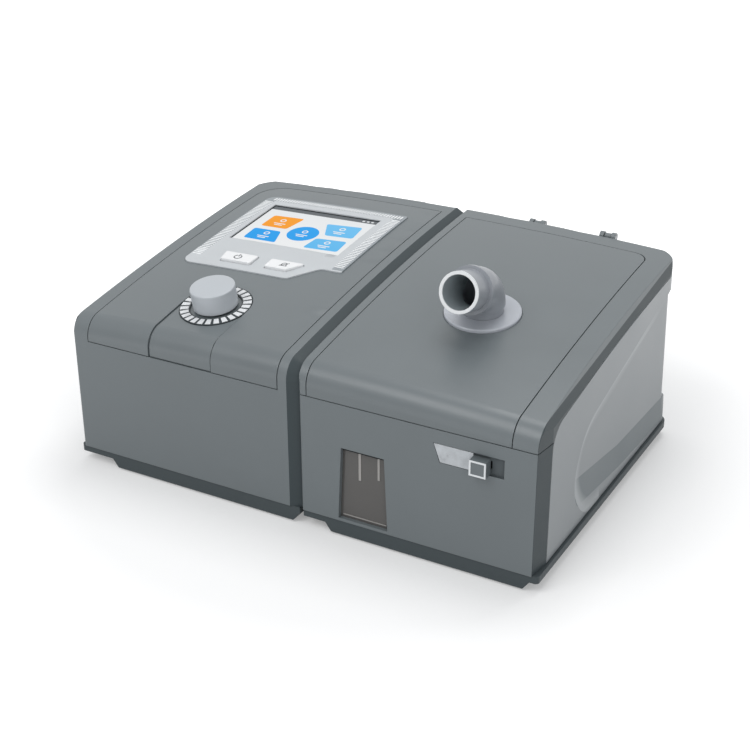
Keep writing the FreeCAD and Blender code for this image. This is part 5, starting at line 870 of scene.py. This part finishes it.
def make_floor():
    """Pale matt table top that runs out to white."""
    mesh = bmesh.new()
    bmesh.ops.create_grid(mesh, x_segments=1, y_segments=1, size=FLOOR_HALF)
    data = bpy.data.meshes.new("floor")
    mesh.to_mesh(data)
    mesh.free()
    floor = bpy.data.objects.new("floor", data)
    bpy.context.scene.collection.objects.link(floor)
    material, tree = new_material("pale_table_top")
    place = add_node(tree, "ShaderNodeTexCoord").outputs["Object"]
    cloud = add_node(tree, "ShaderNodeTexNoise", None, {"Vector": place, "Scale": FLOOR_CLOUDS})
    first, second = (srgb(tone) for tone in FLOOR_TONES)
    shade = add_node(tree, "ShaderNodeMix", COLOURS,
                     {FACTOR: cloud.outputs["Fac"], FIRST: first, SECOND: second})
    matt = add_node(tree, "ShaderNodeBsdfDiffuse", None, {"Color": shade.outputs[MIXED]})
    far = add_node(tree, "ShaderNodeVectorMath", {"operation": "LENGTH"}, {0: place})
    level = add_node(tree, "ShaderNodeMapRange", None,
                     {"Value": far.outputs["Value"], "From Min": FLOOR_FADE[0], "From Max": FLOOR_FADE[1],
                      "To Min": FLOOR_GLOW[0], "To Max": FLOOR_GLOW[1]})
    glow = add_node(tree, "ShaderNodeEmission", None, {"Color": WHITE, "Strength": level.outputs[0]})
    both = add_node(tree, "ShaderNodeAddShader", None, {0: matt.outputs[0], 1: glow.outputs[0]})
    out = white_to_the_eye(tree, both.outputs[0], matt.outputs[0])
    add_node(tree, "ShaderNodeOutputMaterial", None, {"Surface": out.outputs[0]})
    data.materials.append(material)


def make_world():
    """White surroundings to the eye, and a weaker cool fill as light."""
    world = bpy.data.worlds.new("studio")
    bpy.context.scene.world = world
    world.use_nodes = True
    tree = world.node_tree
    tree.nodes.clear()
    seen = add_node(tree, "ShaderNodeBackground", None, {"Color": WHITE, "Strength": 1.0})
    fill = add_node(tree, "ShaderNodeBackground", None, {"Color": FILL_TINT, "Strength": FILL_STRENGTH})
    out = white_to_the_eye(tree, seen.outputs[0], fill.outputs[0])
    add_node(tree, "ShaderNodeOutputWorld", None, {"Surface": out.outputs[0]})


def softbox(name, place, side, power):
    """Square area light that looks at the machine."""
    lamp = bpy.data.lights.new(name, "AREA")
    lamp.shape = "RECTANGLE"
    lamp.size = lamp.size_y = side
    lamp.energy = power
    item = bpy.data.objects.new(name, lamp)
    item.location = place
    item.rotation_euler = (Vector(place) - Vector(LIGHT_TARGET)).to_track_quat("Z", "Y").to_euler()
    bpy.context.scene.collection.objects.link(item)


def make_camera():
    """Camera at the right front, looking down on the machine."""
    heading, pitch, roll = (math.radians(turn) for turn in CAMERA_TURNS)
    forward = Vector((-math.sin(heading) * math.cos(pitch), math.cos(heading) * math.cos(pitch),
                      -math.sin(pitch)))
    right = Vector((math.cos(heading), math.sin(heading), 0))
    up = right.cross(forward)
    turned_right = right * math.cos(roll) + up * math.sin(roll)
    turned_up = up * math.cos(roll) - right * math.sin(roll)
    data = bpy.data.cameras.new("camera")
    data.lens = FOCAL_LENGTH
    data.sensor_width = SENSOR_WIDTH
    data.sensor_fit = "HORIZONTAL"
    camera = bpy.data.objects.new("camera", data)
    axes = Matrix((turned_right, turned_up, -forward)).transposed().to_4x4()
    camera.matrix_world = Matrix.Translation(CAMERA_PLACE) @ axes
    bpy.context.scene.collection.objects.link(camera)
    bpy.context.scene.camera = camera


make_camera()
make_floor()
make_world()
for lamp_name, (lamp_place, lamp_side, lamp_power) in SOFTBOXES.items():
    softbox(lamp_name, lamp_place, lamp_side, lamp_power)
bpy.context.scene.view_settings.view_transform = "Standard"

dress_nodes()
screen_picture()
screen_gasket()
surround_ribs()
key_signs()
tick_marks()
knob()
latch_outline()
window_details()
